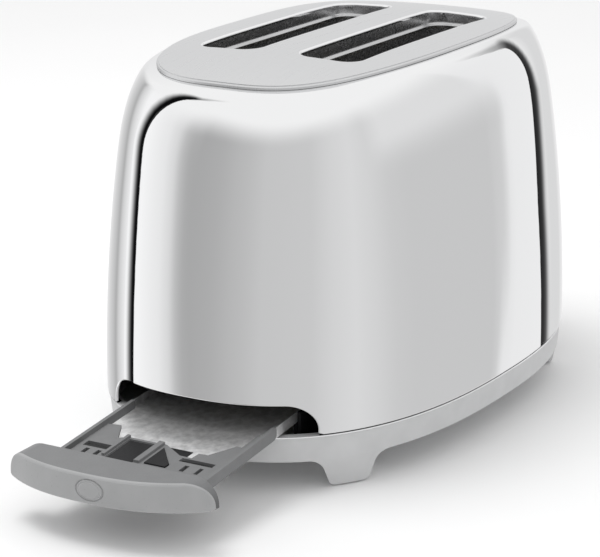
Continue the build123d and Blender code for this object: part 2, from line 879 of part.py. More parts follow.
# Crumb pan: sheet under the web, then a tray with turned-up walls and hems that slide
pan_half_span = rail_half_span - pan_margin
pan_floor_rise = web_rise - pan_thickness
with BuildPart() as crumb_pan:
    pan_boxes = [
        (pan_start, frame_end + pan_overhang, flat_gap - rail_inner, rail_inner - flat_gap),
        (frame_end + pan_overhang, pan_end, -pan_half_span, pan_half_span),
    ]
    extrude(tray_boxes(pan_boxes, pan_floor_rise), pan_thickness)
    pan_sides = [
        (frame_end + pan_overhang, pan_end, -pan_half_span, pan_thickness - pan_half_span),
        (frame_end + pan_overhang, pan_end, pan_half_span - pan_thickness, pan_half_span),
        (pan_end - pan_thickness, pan_end, -pan_half_span, pan_half_span),
    ]
    extrude(tray_boxes(pan_sides, 0), rail_height - pan_wall_top)
    extrude(tray_boxes([latch_plate], 0, flat_gap), rail_height, mode=Mode.SUBTRACT)
crumb_pan.part.label = "crumb_pan"
export_step(crumb_pan.part, "parts/crumb_pan.step")


# Tray guides: an upright under each rail with a fence outside it
def under_tray(x, rise):
    """Height over the table of the tray's plane at a place along the body."""
    along = (x - tray_plane.origin.X) * tan(tray_rise)
    return tray_top + along + (rise - rail_height) / cos(tray_rise)


def guide_profile(rise, y):
    """Side view of a guide plate, its top a set height over the rails' underside."""
    with BuildSketch(Plane.XZ.offset(-y), mode=Mode.PRIVATE) as outline:
        with BuildLine():
            Polyline(
                (guide_start, floor_top), (guide_stop, floor_top),
                (guide_stop, under_tray(guide_stop, rise)),
                (guide_start, under_tray(guide_start, rise)), close=True,
            )
        make_face()
    return outline.sketch


fence_near = rail_half_span + flat_gap
with BuildPart() as tray_guides:
    for side in (-1, 1):
        middle = tray_centre + side * (rail_half_span - rail_width / 2)
        shelf_side = middle + guide_thickness / 2
        extrude(guide_profile(-flat_gap, shelf_side), guide_thickness)
        fence_far = tray_centre + side * (fence_near + guide_thickness / 2) + guide_thickness / 2
        extrude(guide_profile(rail_height, fence_far), guide_thickness)
    for side in (-1, 1):
        floor_middle = tray_centre + side * rail_half_span
        with BuildSketch(Plane.XY.offset(floor_top)):
            with Locations(((guide_start + guide_stop) / 2, floor_middle)):
                Rectangle(guide_stop - guide_start, 2 * guide_foot)
        extrude(amount=guide_thickness)
tray_guides.part.label = "tray_guides"
export_step(tray_guides.part, "parts/tray_guides.step")

# Chassis: two end plates with slots for what slides in them
guide_near = guide_offset - guide_travel - guide_bar_radius - slide_gap
guide_far = guide_offset + guide_bar_radius + slide_gap
guide_slot_middle = (guide_near + guide_far) / 2
rack_low = rack_height - rack_depth / 2 - carriage_travel
rack_top = rack_height + rack_depth / 2
guide_slot_places = [
    (slot_y + side * guide_slot_middle, height)
    for slot_y in slot_sides
    for side in (-1, 1)
    for height in (guide_low, guide_high)
]


def end_plate(x):
    """End plate of the chassis, slotted for the racks and the bread guides."""
    height = deck_height - floor_top
    with BuildPart(mode=Mode.PRIVATE) as plate:
        with BuildSketch(Plane.YZ.offset(x)):
            with Locations((0, floor_top + height / 2)):
                Rectangle(2 * chassis_half_width, height)
            with Locations(*[(slot_y, (rack_low + rack_top) / 2) for slot_y in slot_sides]):
                Rectangle(
                    rack_sheet + 2 * slide_gap, rack_top - rack_low + 2 * slide_gap,
                    mode=Mode.SUBTRACT,
                )
            with Locations(*guide_slot_places):
                SlotOverall(
                    guide_far - guide_near, 2 * (guide_bar_radius + slide_gap),
                    mode=Mode.SUBTRACT,
                )
        extrude(amount=chassis_sheet)
    return plate.part


with BuildPart() as chassis_end_left:
    add(end_plate(end_left - chassis_sheet))
    window_width = 2 * (rail_half_span + tray_window_margin)
    with BuildSketch(Plane.YZ.offset(end_left - chassis_sheet)):
        with Locations((tray_centre, tray_window_height / 2)):
            Rectangle(window_width, tray_window_height)
    extrude(amount=chassis_sheet, mode=Mode.SUBTRACT)
chassis_end_left.part.label = "chassis_end_left"
export_step(chassis_end_left.part, "parts/chassis_end_left.step")

with BuildPart() as chassis_end_right:
    add(end_plate(end_right))
chassis_end_right.part.label = "chassis_end_right"
export_step(chassis_end_right.part, "parts/chassis_end_right.step")

with BuildPart() as chassis_deck:
    deck_x0 = end_left - chassis_sheet
    deck_x1 = end_right + deck_reach
    with BuildSketch(Plane.XY.offset(deck_height)):
        with Locations(((deck_x0 + deck_x1) / 2, 0)):
            Rectangle(deck_x1 - deck_x0, 2 * chassis_half_width)
        add(slot_outline(0, deck_height), mode=Mode.SUBTRACT)
        with Locations((rod_x, rod_offset), (rod_x, -rod_offset)):
            Circle(rod_radius + shaft_gap, mode=Mode.SUBTRACT)
        with Locations((rod_x, 0)):
            Rectangle(
                bracket_sheet + 2 * deck_slot_gap, 2 * (lever_tongue_half_width + deck_slot_gap),
                mode=Mode.SUBTRACT,
            )
        with Locations(((rod_x + deck_x1) / 2, 0)):
            Rectangle(
                deck_x1 - rod_x, lever_arm_width + 2 * deck_slot_gap, mode=Mode.SUBTRACT,
            )
    extrude(amount=chassis_sheet)
chassis_deck.part.label = "chassis_deck"
export_step(chassis_deck.part, "parts/chassis_deck.step")

# Heater boards with a ribbon on the side that faces the bread
heater_middle = (heater_bottom + heater_top) / 2
heater_span = heater_top - heater_bottom
cage_length = end_right - end_left
cage_middle = (end_left + end_right) / 2
ribbon_pitch = (heater_span - 2 * ribbon_margin) / (ribbon_rows - 1)
ribbon_length = cage_length - 2 * ribbon_margin
board_sides = [("front_outer", -1, -1), ("front_inner", -1, 1), ("rear_inner", 1, -1),
               ("rear_outer", 1, 1)]


def sheet_across(y, thickness):
    """Upright sheet between the end plates, as deep as the heaters."""
    with BuildPart(mode=Mode.PRIVATE) as sheet:
        with BuildSketch(Plane.XZ.offset(-y)):
            with Locations((cage_middle, heater_middle)):
                Rectangle(cage_length, heater_span)
        extrude(amount=thickness, both=True)
    return sheet.part


for name, slot_turn, side in board_sides:
    board_y = slot_turn * slot_side + side * heater_offset
    with BuildPart() as heater_board:
        add(sheet_across(board_y, heater_sheet / 2))
    heater_board.part.label = "heater_board_" + name
    export_step(heater_board.part, "parts/heater_board_" + name + ".step")

    ribbon_y = board_y - side * (heater_sheet / 2 + ribbon_thickness / 2)
    with BuildPart() as heater_ribbon:
        with BuildSketch(Plane.XZ.offset(-ribbon_y)):
            for row in range(ribbon_rows):
                row_z = heater_bottom + ribbon_margin + row * ribbon_pitch
                with Locations((cage_middle, row_z)):
                    Rectangle(ribbon_length, ribbon_width)
                if row < ribbon_rows - 1:
                    turn_x = (1 if row % 2 else -1) * (ribbon_length - ribbon_width) / 2
                    with Locations((cage_middle + turn_x, row_z + ribbon_pitch / 2)):
                        Rectangle(ribbon_width, ribbon_pitch)
        extrude(amount=ribbon_thickness / 2, both=True)
    heater_ribbon.part.label = "heater_ribbon_" + name
    export_step(heater_ribbon.part, "parts/heater_ribbon_" + name + ".step")

for name, side in (("front", -1), ("rear", 1)):
    with BuildPart() as heat_shield:
        add(sheet_across(side * shield_offset, shield_sheet / 2))
    heat_shield.part.label = "heat_shield_" + name
    export_step(heat_shield.part, "parts/heat_shield_" + name + ".step")

# Bread guides: two bars that run in the end plates, joined by upright wires
guide_length = cage_length + 2 * (chassis_sheet + guide_overhang)
wire_pitch = (cage_length - 2 * ribbon_margin) / (guide_wires - 1)
for name, slot_turn, side in board_sides:
    guide_y = slot_turn * slot_side + side * guide_offset
    with BuildPart() as bread_guide:
        with BuildSketch(Plane.YZ.offset(end_left - chassis_sheet - guide_overhang)):
            with Locations((guide_y, guide_low), (guide_y, guide_high)):
                Circle(guide_bar_radius)
        extrude(amount=guide_length)
        with BuildSketch(Plane.XY.offset(guide_low)):
            with Locations((cage_middle, guide_y)):
                with GridLocations(wire_pitch, 0, guide_wires, 1):
                    Circle(guide_wire_radius)
        extrude(amount=guide_high - guide_low)
    bread_guide.part.label = "bread_guide_" + name
    export_step(bread_guide.part, "parts/bread_guide_" + name + ".step")

# Bread racks: a bar on edge with cross fingers that carry the slice
rack_x0 = end_left - chassis_sheet - rack_overhang
finger_pitch = (slot_length - 2 * ribbon_margin) / (rack_fingers - 1)
for side, name in zip(slot_sides, liner_names):
    with BuildPart() as bread_rack:
        with BuildSketch(Plane.XZ.offset(-side)):
            with Locations(((rack_x0 + carriage_x) / 2, rack_height)):
                Rectangle(carriage_x - rack_x0, rack_depth)
        extrude(amount=rack_sheet / 2, both=True)
        with BuildSketch(Plane.XZ.offset(-side)):
            with Locations((slot_shift, rack_top - finger_height / 2)):
                with GridLocations(finger_pitch, 0, rack_fingers, 1):
                    Rectangle(rack_sheet, finger_height)
        extrude(amount=finger_half_width, both=True)
    bread_rack.part.label = "bread_rack_" + name
    export_step(bread_rack.part, "parts/bread_rack_" + name + ".step")

# Carriage bracket with two bosses on the rods and a tongue up to the lever
rod_places = [(rod_x, -rod_offset), (rod_x, rod_offset)]
with BuildPart() as carriage_bracket:
    with BuildSketch(Plane.YZ.offset(carriage_x)):
        with Locations((0, (bracket_bottom + bracket_top) / 2)):
            Rectangle(2 * bracket_half_width, bracket_top - bracket_bottom)
        tongue_top = lever_height + lever_arm_height / 2 + bracket_lip
        with Locations((0, (bracket_bottom + tongue_top) / 2)):
            Rectangle(2 * lever_tongue_half_width, tongue_top - bracket_bottom)
    extrude(amount=bracket_sheet)
    with Locations(*[(x, y, bracket_bottom) for x, y in rod_places]):
        Cylinder(
            boss_radius, bracket_top - bracket_bottom,
            align=(Align.CENTER, Align.CENTER, Align.MIN),
        )
    with Locations(*[(x, y, bracket_bottom) for x, y in rod_places]):
        Cylinder(
            rod_radius + shaft_gap, bracket_top - bracket_bottom,
            align=(Align.CENTER, Align.CENTER, Align.MIN), mode=Mode.SUBTRACT,
        )
carriage_bracket.part.label = "carriage_bracket"
export_step(carriage_bracket.part, "parts/carriage_bracket.step")

knob_inner_x = shell_reach(lever_low - lever_knob_height / 2) + lever_knob_gap
arm_end = knob_inner_x + lever_socket_depth
with BuildPart() as lever_arm:
    with BuildSketch(Plane.YZ.offset(carriage_x + bracket_sheet)):
        with Locations((0, lever_height)):
            Rectangle(lever_arm_width, lever_arm_height)
    extrude(amount=arm_end - carriage_x - bracket_sheet)
lever_arm.part.label = "lever_arm"
export_step(lever_arm.part, "parts/lever_arm.step")

with BuildPart() as lever_knob:
    with BuildSketch(Plane.YZ.offset(knob_inner_x)):
        with Locations((0, lever_height)):
            SlotOverall(lever_knob_width, lever_knob_height)
    extrude(amount=lever_knob_length)
    fillet(lever_knob.faces().sort_by(Axis.X)[-1].edges(), radius=lever_knob_round)
    with BuildSketch(Plane.YZ.offset(knob_inner_x)):
        with Locations((0, lever_height)):
            Rectangle(lever_arm_width, lever_arm_height)
    extrude(amount=arm_end - knob_inner_x, mode=Mode.SUBTRACT)
lever_knob.part.label = "lever_knob"
export_step(lever_knob.part, "parts/lever_knob.step")

# Armature under the bracket, magnet under the armature at the end of its travel
with BuildPart() as armature_plate:
    with BuildSketch(Plane.XY.offset(bracket_bottom - armature_thickness)):
        with Locations((rod_x, 0)):
            Rectangle(armature_depth, armature_width)
    extrude(amount=armature_thickness)
armature_plate.part.label = "armature_plate"
export_step(armature_plate.part, "parts/armature_plate.step")

core_top = bracket_bottom - armature_thickness - carriage_travel - flat_gap
coil_bottom = floor_top + magnet_foot
with BuildPart() as magnet_core:
    with BuildSketch(Plane.XY.offset(floor_top)):
        with Locations((rod_x, 0)):
            Rectangle(magnet_depth, magnet_width)
    extrude(amount=magnet_foot)
    with Locations((rod_x, 0, coil_bottom)):
        Cylinder(
            core_radius, core_top - coil_bottom, align=(Align.CENTER, Align.CENTER, Align.MIN)
        )
magnet_core.part.label = "magnet_core"
export_step(magnet_core.part, "parts/magnet_core.step")

with BuildPart() as magnet_coil:
    with BuildSketch(Plane.XY.offset(coil_bottom)):
        with Locations((rod_x, 0)):
            Circle(coil_radius)
            Circle(core_radius + shaft_gap, mode=Mode.SUBTRACT)
    extrude(amount=core_top - coil_bottom - coil_setback)
magnet_coil.part.label = "magnet_coil"
export_step(magnet_coil.part, "parts/magnet_coil.step")

with BuildPart() as guide_rods:
    with Locations(*[(x, y, floor_top) for x, y in rod_places]):
        Cylinder(
            rod_radius, deck_top - floor_top, align=(Align.CENTER, Align.CENTER, Align.MIN)
        )
guide_rods.part.label = "guide_rods"
export_step(guide_rods.part, "parts/guide_rods.step")

# Return spring round the rear rod: a helix of biarcs, four to a turn
spring_start = floor_top + flat_gap + spring_wire_radius
spring_stop = bracket_bottom - flat_gap - spring_wire_radius
spring_pitch = (spring_stop - spring_start) / spring_turns


def spring_point(turn):
    """Point on the spring's centre line after a number of turns."""
    angle = 2 * pi * turn
    return Vector(
        rod_x + spring_radius * cos(angle), rod_offset + spring_radius * sin(angle),
        spring_start + spring_pitch * turn,
    )


def spring_heading(turn):
    """Direction of the spring's centre line after a number of turns."""
    angle = 2 * pi * turn
    climb = spring_pitch / (2 * pi * spring_radius)
    return Vector(-sin(angle), cos(angle), climb).normalized()


def biarc_middle(start, start_heading, end, end_heading):
    """Point where two arcs that share a tangent meet between two headings."""
    chord = end - start
    both = start_heading + end_heading
    spread = 2 * (1 - start_heading.dot(end_heading))
    along = chord.dot(both)
    reach = (sqrt(along**2 + spread * chord.dot(chord)) - along) / spread
    return (start + end + (start_heading - end_heading) * reach) * 0.5


with BuildPart() as return_spring:
    with BuildLine() as spring_line:
        for quarter in range(4 * spring_turns):
            here = quarter / 4
            start = spring_point(here)
            end = spring_point(here + 0.25)
            heading = spring_heading(here)
            end_heading = spring_heading(here + 0.25)
            middle = biarc_middle(start, heading, end, end_heading)
            TangentArc(start, middle, tangent=heading)
            TangentArc(end, middle, tangent=end_heading * -1)
    with BuildSketch(Plane(origin=spring_point(0), z_dir=spring_heading(0))):
        Circle(spring_wire_radius)
    sweep(path=spring_line.wires()[0])
return_spring.part.label = "return_spring"
export_step(return_spring.part, "parts/return_spring.step")
spring_trace = [spring_point(step / 36) for step in range(36 * spring_turns)]
spring_least = min(
    (spring_trace[k] - spring_trace[j]).length
    for k in range(len(spring_trace))
    for j in range(k + 18, min(k + 72, len(spring_trace)))
)
print("Least gap of the return spring to itself:", spring_least - 2 * spring_wire_radius)

# Control board with its potentiometer and switches
board_x = dial_x - board_setback
board_front = board_x + board_thickness
with BuildPart() as control_board:
    with BuildSketch(Plane.YZ.offset(board_x)):
        with Locations((0, (floor_top + board_top) / 2)):
            Rectangle(2 * board_half_width, board_top - floor_top)
    extrude(amount=board_thickness)
control_board.part.label = "control_board"
export_step(control_board.part, "parts/control_board.step")

with BuildPart() as potentiometer:
    add(dial_disc(pot_radius, board_front, pot_depth))
    add(dial_disc(pot_bush_radius, board_front + pot_depth, pot_bush_length))
    add(
        dial_disc(shaft_radius + shaft_gap, board_front, pot_depth + pot_bush_length),
        mode=Mode.SUBTRACT,
    )
potentiometer.part.label = "potentiometer"
export_step(potentiometer.part, "parts/potentiometer.step")

with BuildPart() as switch_block:
    with BuildSketch(Plane.YZ.offset(board_front)):
        with Locations((0, button_height)):
            Rectangle(switch_length, switch_height)
    extrude(amount=switch_depth)
switch_block.part.label = "switch_block"
export_step(switch_block.part, "parts/switch_block.step")

with BuildPart() as terminal_block:
    with BuildSketch(Plane.XY.offset(floor_top)):
        with Locations((gland_x, terminal_y)):
            Rectangle(terminal_length, terminal_depth)
    extrude(amount=terminal_height)
terminal_block.part.label = "terminal_block"
export_step(terminal_block.part, "parts/terminal_block.step")

# Browning dial: a ring in the shell, a knob on a shaft in front of it
with BuildPart() as dial_ring:
    add(dial_disc(dial_radius, dial_x - dial_depth, dial_depth))
    add(dial_disc(dial_flange_radius, dial_x - dial_depth, dial_flange_thickness))
    add(dial_disc(dial_radius - dial_face, dial_x - dial_depth, dial_depth - dial_face),
        mode=Mode.SUBTRACT)
    add(dial_disc(dial_bore_radius, dial_x - dial_depth, dial_depth), mode=Mode.SUBTRACT)
dial_ring.part.label = "dial_ring"
export_step(dial_ring.part, "parts/dial_ring.step")

knob_back = dial_x + knob_gap
with BuildPart() as browning_knob:
    add(dial_disc(knob_radius - knob_grip_radius, knob_back, knob_length))
    fillet(browning_knob.faces().sort_by(Axis.X)[-1].edges(), radius=knob_round)
    with BuildSketch(Plane.YZ.offset(knob_back)):
        with Locations((0, dial_height)):
            with PolarLocations(knob_radius - knob_grip_radius, knob_grip_count):
                Circle(knob_grip_radius)
    extrude(amount=knob_length - 2 * knob_round)
    with BuildSketch(Plane.YZ.offset(knob_back + knob_length)):
        with Locations((0, dial_height + knob_mark_offset)):
            SlotOverall(knob_mark_length, knob_mark_width, rotation=90)
    extrude(amount=-knob_mark_depth, mode=Mode.SUBTRACT)
    add(dial_disc(shaft_radius, knob_back, knob_socket_depth), mode=Mode.SUBTRACT)
browning_knob.part.label = "browning_knob"
export_step(browning_knob.part, "parts/browning_knob.step")

with BuildPart() as knob_shaft:
    shaft_start = board_front + flat_gap
    add(dial_disc(shaft_radius, shaft_start, knob_back + knob_socket_depth - shaft_start))
knob_shaft.part.label = "knob_shaft"
export_step(knob_shaft.part, "parts/knob_shaft.step")

# Button bezel and three push buttons that rest on the switches' plungers
button_places = [(side * button_pitch, button_height) for side in (-1, 0, 1)]
bezel_back = button_x - button_bezel_thickness
with BuildPart() as button_bezel:
    extrude(button_bezel_outline(0, bezel_back), button_bezel_thickness)
    with BuildSketch(Plane.YZ.offset(bezel_back)):
        with Locations(*button_places):
            Circle(button_radius + flat_gap)
    extrude(amount=button_bezel_thickness, mode=Mode.SUBTRACT)
button_bezel.part.label = "button_bezel"
export_step(button_bezel.part, "parts/button_bezel.step")

stem_start = board_front + switch_depth + button_travel + flat_gap
flange_back = bezel_back - flat_gap - button_flange_thickness
for place, name in zip(button_places, ["left", "middle", "right"]):
    with BuildPart() as push_button:
        with BuildSketch(Plane.YZ.offset(stem_start)):
            with Locations(place):
                Circle(button_stem_radius)
        extrude(amount=flange_back - stem_start)
        with BuildSketch(Plane.YZ.offset(flange_back)):
            with Locations(place):
                Circle(button_radius + button_flange)
        extrude(amount=button_flange_thickness)
        with BuildSketch(Plane.YZ.offset(flange_back)):
            with Locations(place):
                Circle(button_radius)
        extrude(amount=button_x + button_proud - flange_back)
        fillet(push_button.faces().sort_by(Axis.X)[-1].edges(), radius=button_round)
    push_button.part.label = "push_button_" + name
    export_step(push_button.part, "parts/push_button_" + name + ".step")
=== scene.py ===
import json
from math import cos, pi, radians, sin

import bpy
import numpy as np
from mathutils import Matrix, Vector


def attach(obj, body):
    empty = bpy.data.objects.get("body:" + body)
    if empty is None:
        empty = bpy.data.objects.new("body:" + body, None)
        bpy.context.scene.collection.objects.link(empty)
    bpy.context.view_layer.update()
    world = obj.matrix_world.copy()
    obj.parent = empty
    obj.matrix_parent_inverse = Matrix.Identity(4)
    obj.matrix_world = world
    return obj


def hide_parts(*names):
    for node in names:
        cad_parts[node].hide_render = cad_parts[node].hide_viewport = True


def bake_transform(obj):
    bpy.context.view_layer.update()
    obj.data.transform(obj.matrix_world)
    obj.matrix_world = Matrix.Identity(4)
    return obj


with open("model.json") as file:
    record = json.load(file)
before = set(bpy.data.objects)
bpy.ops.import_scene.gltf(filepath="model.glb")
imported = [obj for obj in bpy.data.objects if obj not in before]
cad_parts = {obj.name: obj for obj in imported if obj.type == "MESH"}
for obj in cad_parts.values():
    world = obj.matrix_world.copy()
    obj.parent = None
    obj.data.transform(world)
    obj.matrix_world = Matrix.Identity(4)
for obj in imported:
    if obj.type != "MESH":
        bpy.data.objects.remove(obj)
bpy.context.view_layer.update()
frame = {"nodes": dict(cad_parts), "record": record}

# Sizes are in millimetres, and meshes are scaled to the frame's metres when they are made
MM = 0.001

# Body: the same oval, bow and shoulder as the shell's own solid
body_half_length = 152.0
body_half_width = 95.0
body_exponent = 2.47
plate_half_length = 119.0
plate_half_width = 66.0
plate_exponent = 2.93
plate_margin = 33.0
seam_height = 28.6
shell_bottom = 29.1
shoulder_start = 150.0
shoulder_height = 47.0
shoulder_power = 2.5
wall_bow = 10.4
shoulder_inset = 22.0
width_taper = 0.885
crown_height = 198.0
crown_end_drop = 7.2
crown_side_drop = 2.6
crown_power = 3.5
crown_flat = 197.5
crown_flat_blend = 0.8
crown_blend = 2.4
joint_depth = 2.1
inner_skin = 1.2

# Openings in the shell
tray_centre = -5.0
tray_half_width = 55.0
tray_top = 44.1
tray_corner = 12.5
dial_height = 58.0
dial_hole = 23.3
button_height = 92.0
button_half_length = 28.3
button_half_height = 9.3
lever_slot_low = 103.0
lever_slot_high = 170.0
lever_slot_half_width = 3.2
edge_round = 0.8
edge_return = 1.2

# Creases round the raised panels: corners are (across, height), openings are (share, how open)
crease_depth = 2.2
crease_step = 0.6
crease_least_roll = 0.2
# The fade, edge and gain below, and each crease's shade width and fade, set the painted shade that
# darkens the chrome in the creases
crease_least_fade = 0.1
crease_edge = (-0.15, 0.25)
crease_shade_gain = 3
crease_search = 19.0
end_zone = 80.0
side_zone = 45.0
bend_points = 14
end_crease_corners = [(33.6, 38.0), (32.4, 182.8), (-14.0, 184.9)]
end_crease_bends = [26.0]
end_crease_openings = [
    (0.0, 0.0), (0.03, 1.0), (0.76, 1.0), (0.85, 0.6), (0.91, 0.2), (1.0, 0.0),
]
end_crease_roll = 8.0
end_crease_shade_width = 2.8
end_crease_fade = 4.2
side_crease_corners = [(44.6, 10.0), (45.0, 105.0), (53.6, 187.4), (-18.0, 189.4)]
side_crease_bends = [150.0, 17.0]
side_crease_openings = [
    (0.0, 1.0), (0.64, 1.0), (0.70, 0.6), (0.75, 0.34), (0.80, 0.2), (0.87, 0.12), (1.0, 0.0),
]
side_crease_roll = 15.0
side_crease_shade_width = 8.0
side_crease_fade = 8.8

# Bread slots in the plate
slot_centre_x = 3.5
slot_centre_y = 28.35
slot_half_length = 72.3
slot_half_width = 16.9
slot_corner = 9.0
liner_set_back = 0.15
liner_bottom = 151.5
liner_top_drop = 1.0
liner_bead_height = 188.6
liner_bead = 1.2
liner_bead_width = 0.8
plate_edge_round = 1.3
slot_edge_round = 1.1
plate_side = 1.95

# Edge of the plate, and the ring that it sits on: (outwards, down, turn of the normal)
plate_edge_zone = 3
plate_edge_profile = [
    (0.05, 0.02, 0.7), (0.07, 0.08, pi / 2), (0.07, 0.34, pi / 2), (0.14, 0.38, 0.15),
    (0.72, 0.46, 0.3), (1.1, 0.7, 0.8), (plate_edge_round, 1.05, 1.3),
    (plate_edge_round, plate_side, pi / 2),
]

# Spacing of the meshes' rows and columns, with finer bands as (low, high, step)
shell_column_step = 0.9
shell_column_bands = [
    (102, 118, 0.16), (148, 174, 0.2), (282, 298, 0.16), (328, 354, 0.2), (174, 214, 0.4),
]
shell_rows = (28.0, 196.6)
shell_row_step = 2.6
shell_row_bands = [(28.0, 47.0, 1.0), (162.0, 193.6, 0.4), (193.6, 196.6, 0.25)]
inside_columns = 181
inside_rows = (30.0, 196.0)
inside_row_step = 5.0
inside_row_bands = [(150.0, 196.0, 1.5)]
plate_columns = 721
plate_middle_hole = 0.02
plate_rows = (0.0, plate_half_width - plate_middle_hole)
plate_row_step = 1.2
plate_row_bands = [(0.0, 2.4, 0.3)]
liner_row_step = 0.08
liner_row_bands = [(0.76, 0.89, 0.008)]
liner_run_step = 6.0
liner_bend_step = 1.0
band_entry = 1e-6
cut_halvings = 24

# Steps of a surface's two parameters over which its slopes are measured
SHELL_REACH = (2e-5, 0.01)
PLATE_REACH = (2e-5, 0.005)
BASE_RIM_REACH = (1e-4, 1e-3)
LINER_REACH = (1e-4, 0.01)
FRONT_REACH = (0.004, 0.004)
BADGE_REACH = (0.002, 0.002)
SPRING_REACH = (1e-4, 1e-4)


def smooth_step(low, high, value):
    """0 below low, 1 above high, and a smooth rise between them."""
    share = np.clip((value - low) / (high - low), 0.0, 1.0)
    return share * share * (3 - 2 * share)


def smooth_min(a, b, width):
    """Lesser of two values, rounded over where they cross."""
    share = np.clip(1 - np.abs(a - b) / width, 0.0, 1.0)
    return np.minimum(a, b) - share * share * width / 4


def unit(vectors):
    """Vectors scaled to a length of one."""
    return vectors / np.linalg.norm(vectors, axis=-1, keepdims=True)


def crown_at(x, y):
    """Height of the crowned top over a place in plan."""
    end_fall = crown_end_drop * np.abs(x / plate_half_length) ** crown_power
    crown = crown_height - end_fall - crown_side_drop * (y / plate_half_width) ** 2
    return smooth_min(crown, crown_flat, crown_flat_blend)


def wall_inset(height):
    """How far the shell has drawn in from the body outline at a height."""
    bow = wall_bow * ((height - seam_height) / (shoulder_start - seam_height)) ** 2
    rise = np.clip((height - shoulder_start) / shoulder_height, 0.0, 1.0)
    roll = 1 - (1 - rise ** shoulder_power) ** (1 / shoulder_power)
    return bow + shoulder_inset * roll


def oval_place(half_length, half_width, exponent, angle):
    """Place on an oval outline at an angle."""
    along, across = np.cos(angle), np.sin(angle)
    scale = (np.abs(along) ** exponent + np.abs(across) ** exponent) ** (-1 / exponent)
    return half_length * along * scale, half_width * across * scale


def bare_shell(angle, height):
    """Place on the shell without its creases."""
    inset = wall_inset(height)
    squareness = np.minimum(inset / plate_margin, 1.0)
    exponent = body_exponent + (plate_exponent - body_exponent) * squareness
    half_width = body_half_width - inset * width_taper
    x, y = oval_place(body_half_length - inset, half_width, exponent, angle)
    z = smooth_min(height, crown_at(x, y) - joint_depth, crown_blend)
    return np.stack([x, y, z], -1)


def slopes(place, u, v, reach):
    """Derivatives of a surface along its two parameters."""
    along = (place(u + reach[0], v) - place(u - reach[0], v)) / (2 * reach[0])
    across = (place(u, v + reach[1]) - place(u, v - reach[1])) / (2 * reach[1])
    return along, across


def surface_normal(place, u, v, reach):
    """Unit normal of a surface: its first parameter's slope crossed with its second's."""
    along, across = slopes(place, u, v, reach)
    return unit(np.cross(along, across))


def rounded_path(corners, bends):
    """Points of a line whose inner corners are rounded."""
    corners = [np.array(corner) for corner in corners]
    points = [corners[0]]
    for before, corner, after, radius in zip(corners[:-2], corners[1:-1], corners[2:], bends):
        back, on = unit(before - corner), unit(after - corner)
        half = np.arccos(back @ on) / 2
        centre = corner + unit(back + on) * radius / np.sin(half)
        reach = radius / np.tan(half)
        turns = np.linspace(0, 1, bend_points)[:, None]
        chord = (corner + back * reach) * (1 - turns) + (corner + on * reach) * turns
        points.extend(centre + radius * unit(chord - centre))
    return np.vstack(points + [corners[-1]])


def path_distance(a, b, path):
    """Signed distance of places from a path, and how far along it the nearest point is."""
    best = np.full(a.shape, np.inf)
    signed, share = np.zeros(a.shape), np.zeros(a.shape)
    lengths = np.linalg.norm(np.diff(path, axis=0), axis=1)
    done = np.concatenate([[0.0], np.cumsum(lengths)])
    for p, q, length, before in zip(path[:-1], path[1:], lengths, done):
        d = (q - p) / length
        along = np.clip((a - p[0]) * d[0] + (b - p[1]) * d[1], 0, length)
        off_a, off_b = a - p[0] - along * d[0], b - p[1] - along * d[1]
        distance = np.hypot(off_a, off_b)
        nearer = distance < best
        side = np.where(d[0] * off_b - d[1] * off_a >= 0, 1.0, -1.0)
        best = np.where(nearer, distance, best)
        signed = np.where(nearer, side * distance, signed)
        share = np.where(nearer, (before + along) / done[-1], share)
    return signed, share


end_path = rounded_path(end_crease_corners, end_crease_bends)
side_path = rounded_path(side_crease_corners, side_crease_bends)


def crease_fields(places, height):
    """Distance out from a crease's panel edge, how open it is, and whether it is on a side."""
    x, y = places[..., 0], places[..., 1]
    distance, opening = np.full(x.shape, -crease_search), np.zeros(x.shape)
    on_side = np.zeros(x.shape)
    for turned in (1, -1):
        for across, here, path, openings, sideways in (
            (turned * y, -turned * x > end_zone, end_path, end_crease_openings, 0.0),
            (turned * x, -turned * y > side_zone, side_path, side_crease_openings, 1.0),
        ):
            signed, share = path_distance(across, height, path)
            near = here & (np.abs(signed) < crease_search) & (share > 0) & (share < 1)
            open_share = np.interp(share, *zip(*openings))
            distance = np.where(near, -signed, distance)
            opening = np.where(near, open_share, opening)
            on_side = np.where(near, sideways, on_side)
    return distance, opening, on_side


def crease_size(on_side, end_size, side_size):
    """A crease's size on an end or on a side."""
    return end_size + (side_size - end_size) * on_side


def crease_drop(distance, opening, on_side):
    """How deep the surface lies under the bare shell beside a crease."""
    width = crease_size(on_side, end_crease_roll, side_crease_roll)
    width = width * (crease_least_roll + (1 - crease_least_roll) * opening)
    step = smooth_step(0.0, crease_step, distance)
    rise = np.clip(1 - distance / width, 0.0, 1.0)
    return crease_depth * opening * step * rise * rise


def crease_shade(places, height):
    """Painted shade in the crease: how dark the chrome is painted, sharp on the panel's side and
    fading outwards.
    """
    distance, opening, on_side = crease_fields(places, height)
    black = crease_size(on_side, end_crease_shade_width, side_crease_shade_width) * opening
    fade = crease_size(on_side, end_crease_fade, side_crease_fade)
    fade = fade * (crease_least_fade + (1 - crease_least_fade) * opening)
    edge = smooth_step(*crease_edge, distance)
    strength = np.clip(opening * crease_shade_gain, 0, 1)
    return edge * (1 - smooth_step(black, black + fade, distance)) * strength


def shell_place(angle, height):
    """Place on the shell with its creases pressed in."""
    places = bare_shell(angle, height)
    normal = surface_normal(bare_shell, angle, height, SHELL_REACH)
    drop = crease_drop(*crease_fields(places, height))
    return places - normal * drop[..., None]


def rounded_box(a, b, half_a, half_b, corner):
    """Signed distance outside a rounded rectangle."""
    over_a, over_b = np.abs(a) - half_a + corner, np.abs(b) - half_b + corner
    outside = np.hypot(np.maximum(over_a, 0), np.maximum(over_b, 0))
    return outside + np.minimum(np.maximum(over_a, over_b), 0) - corner


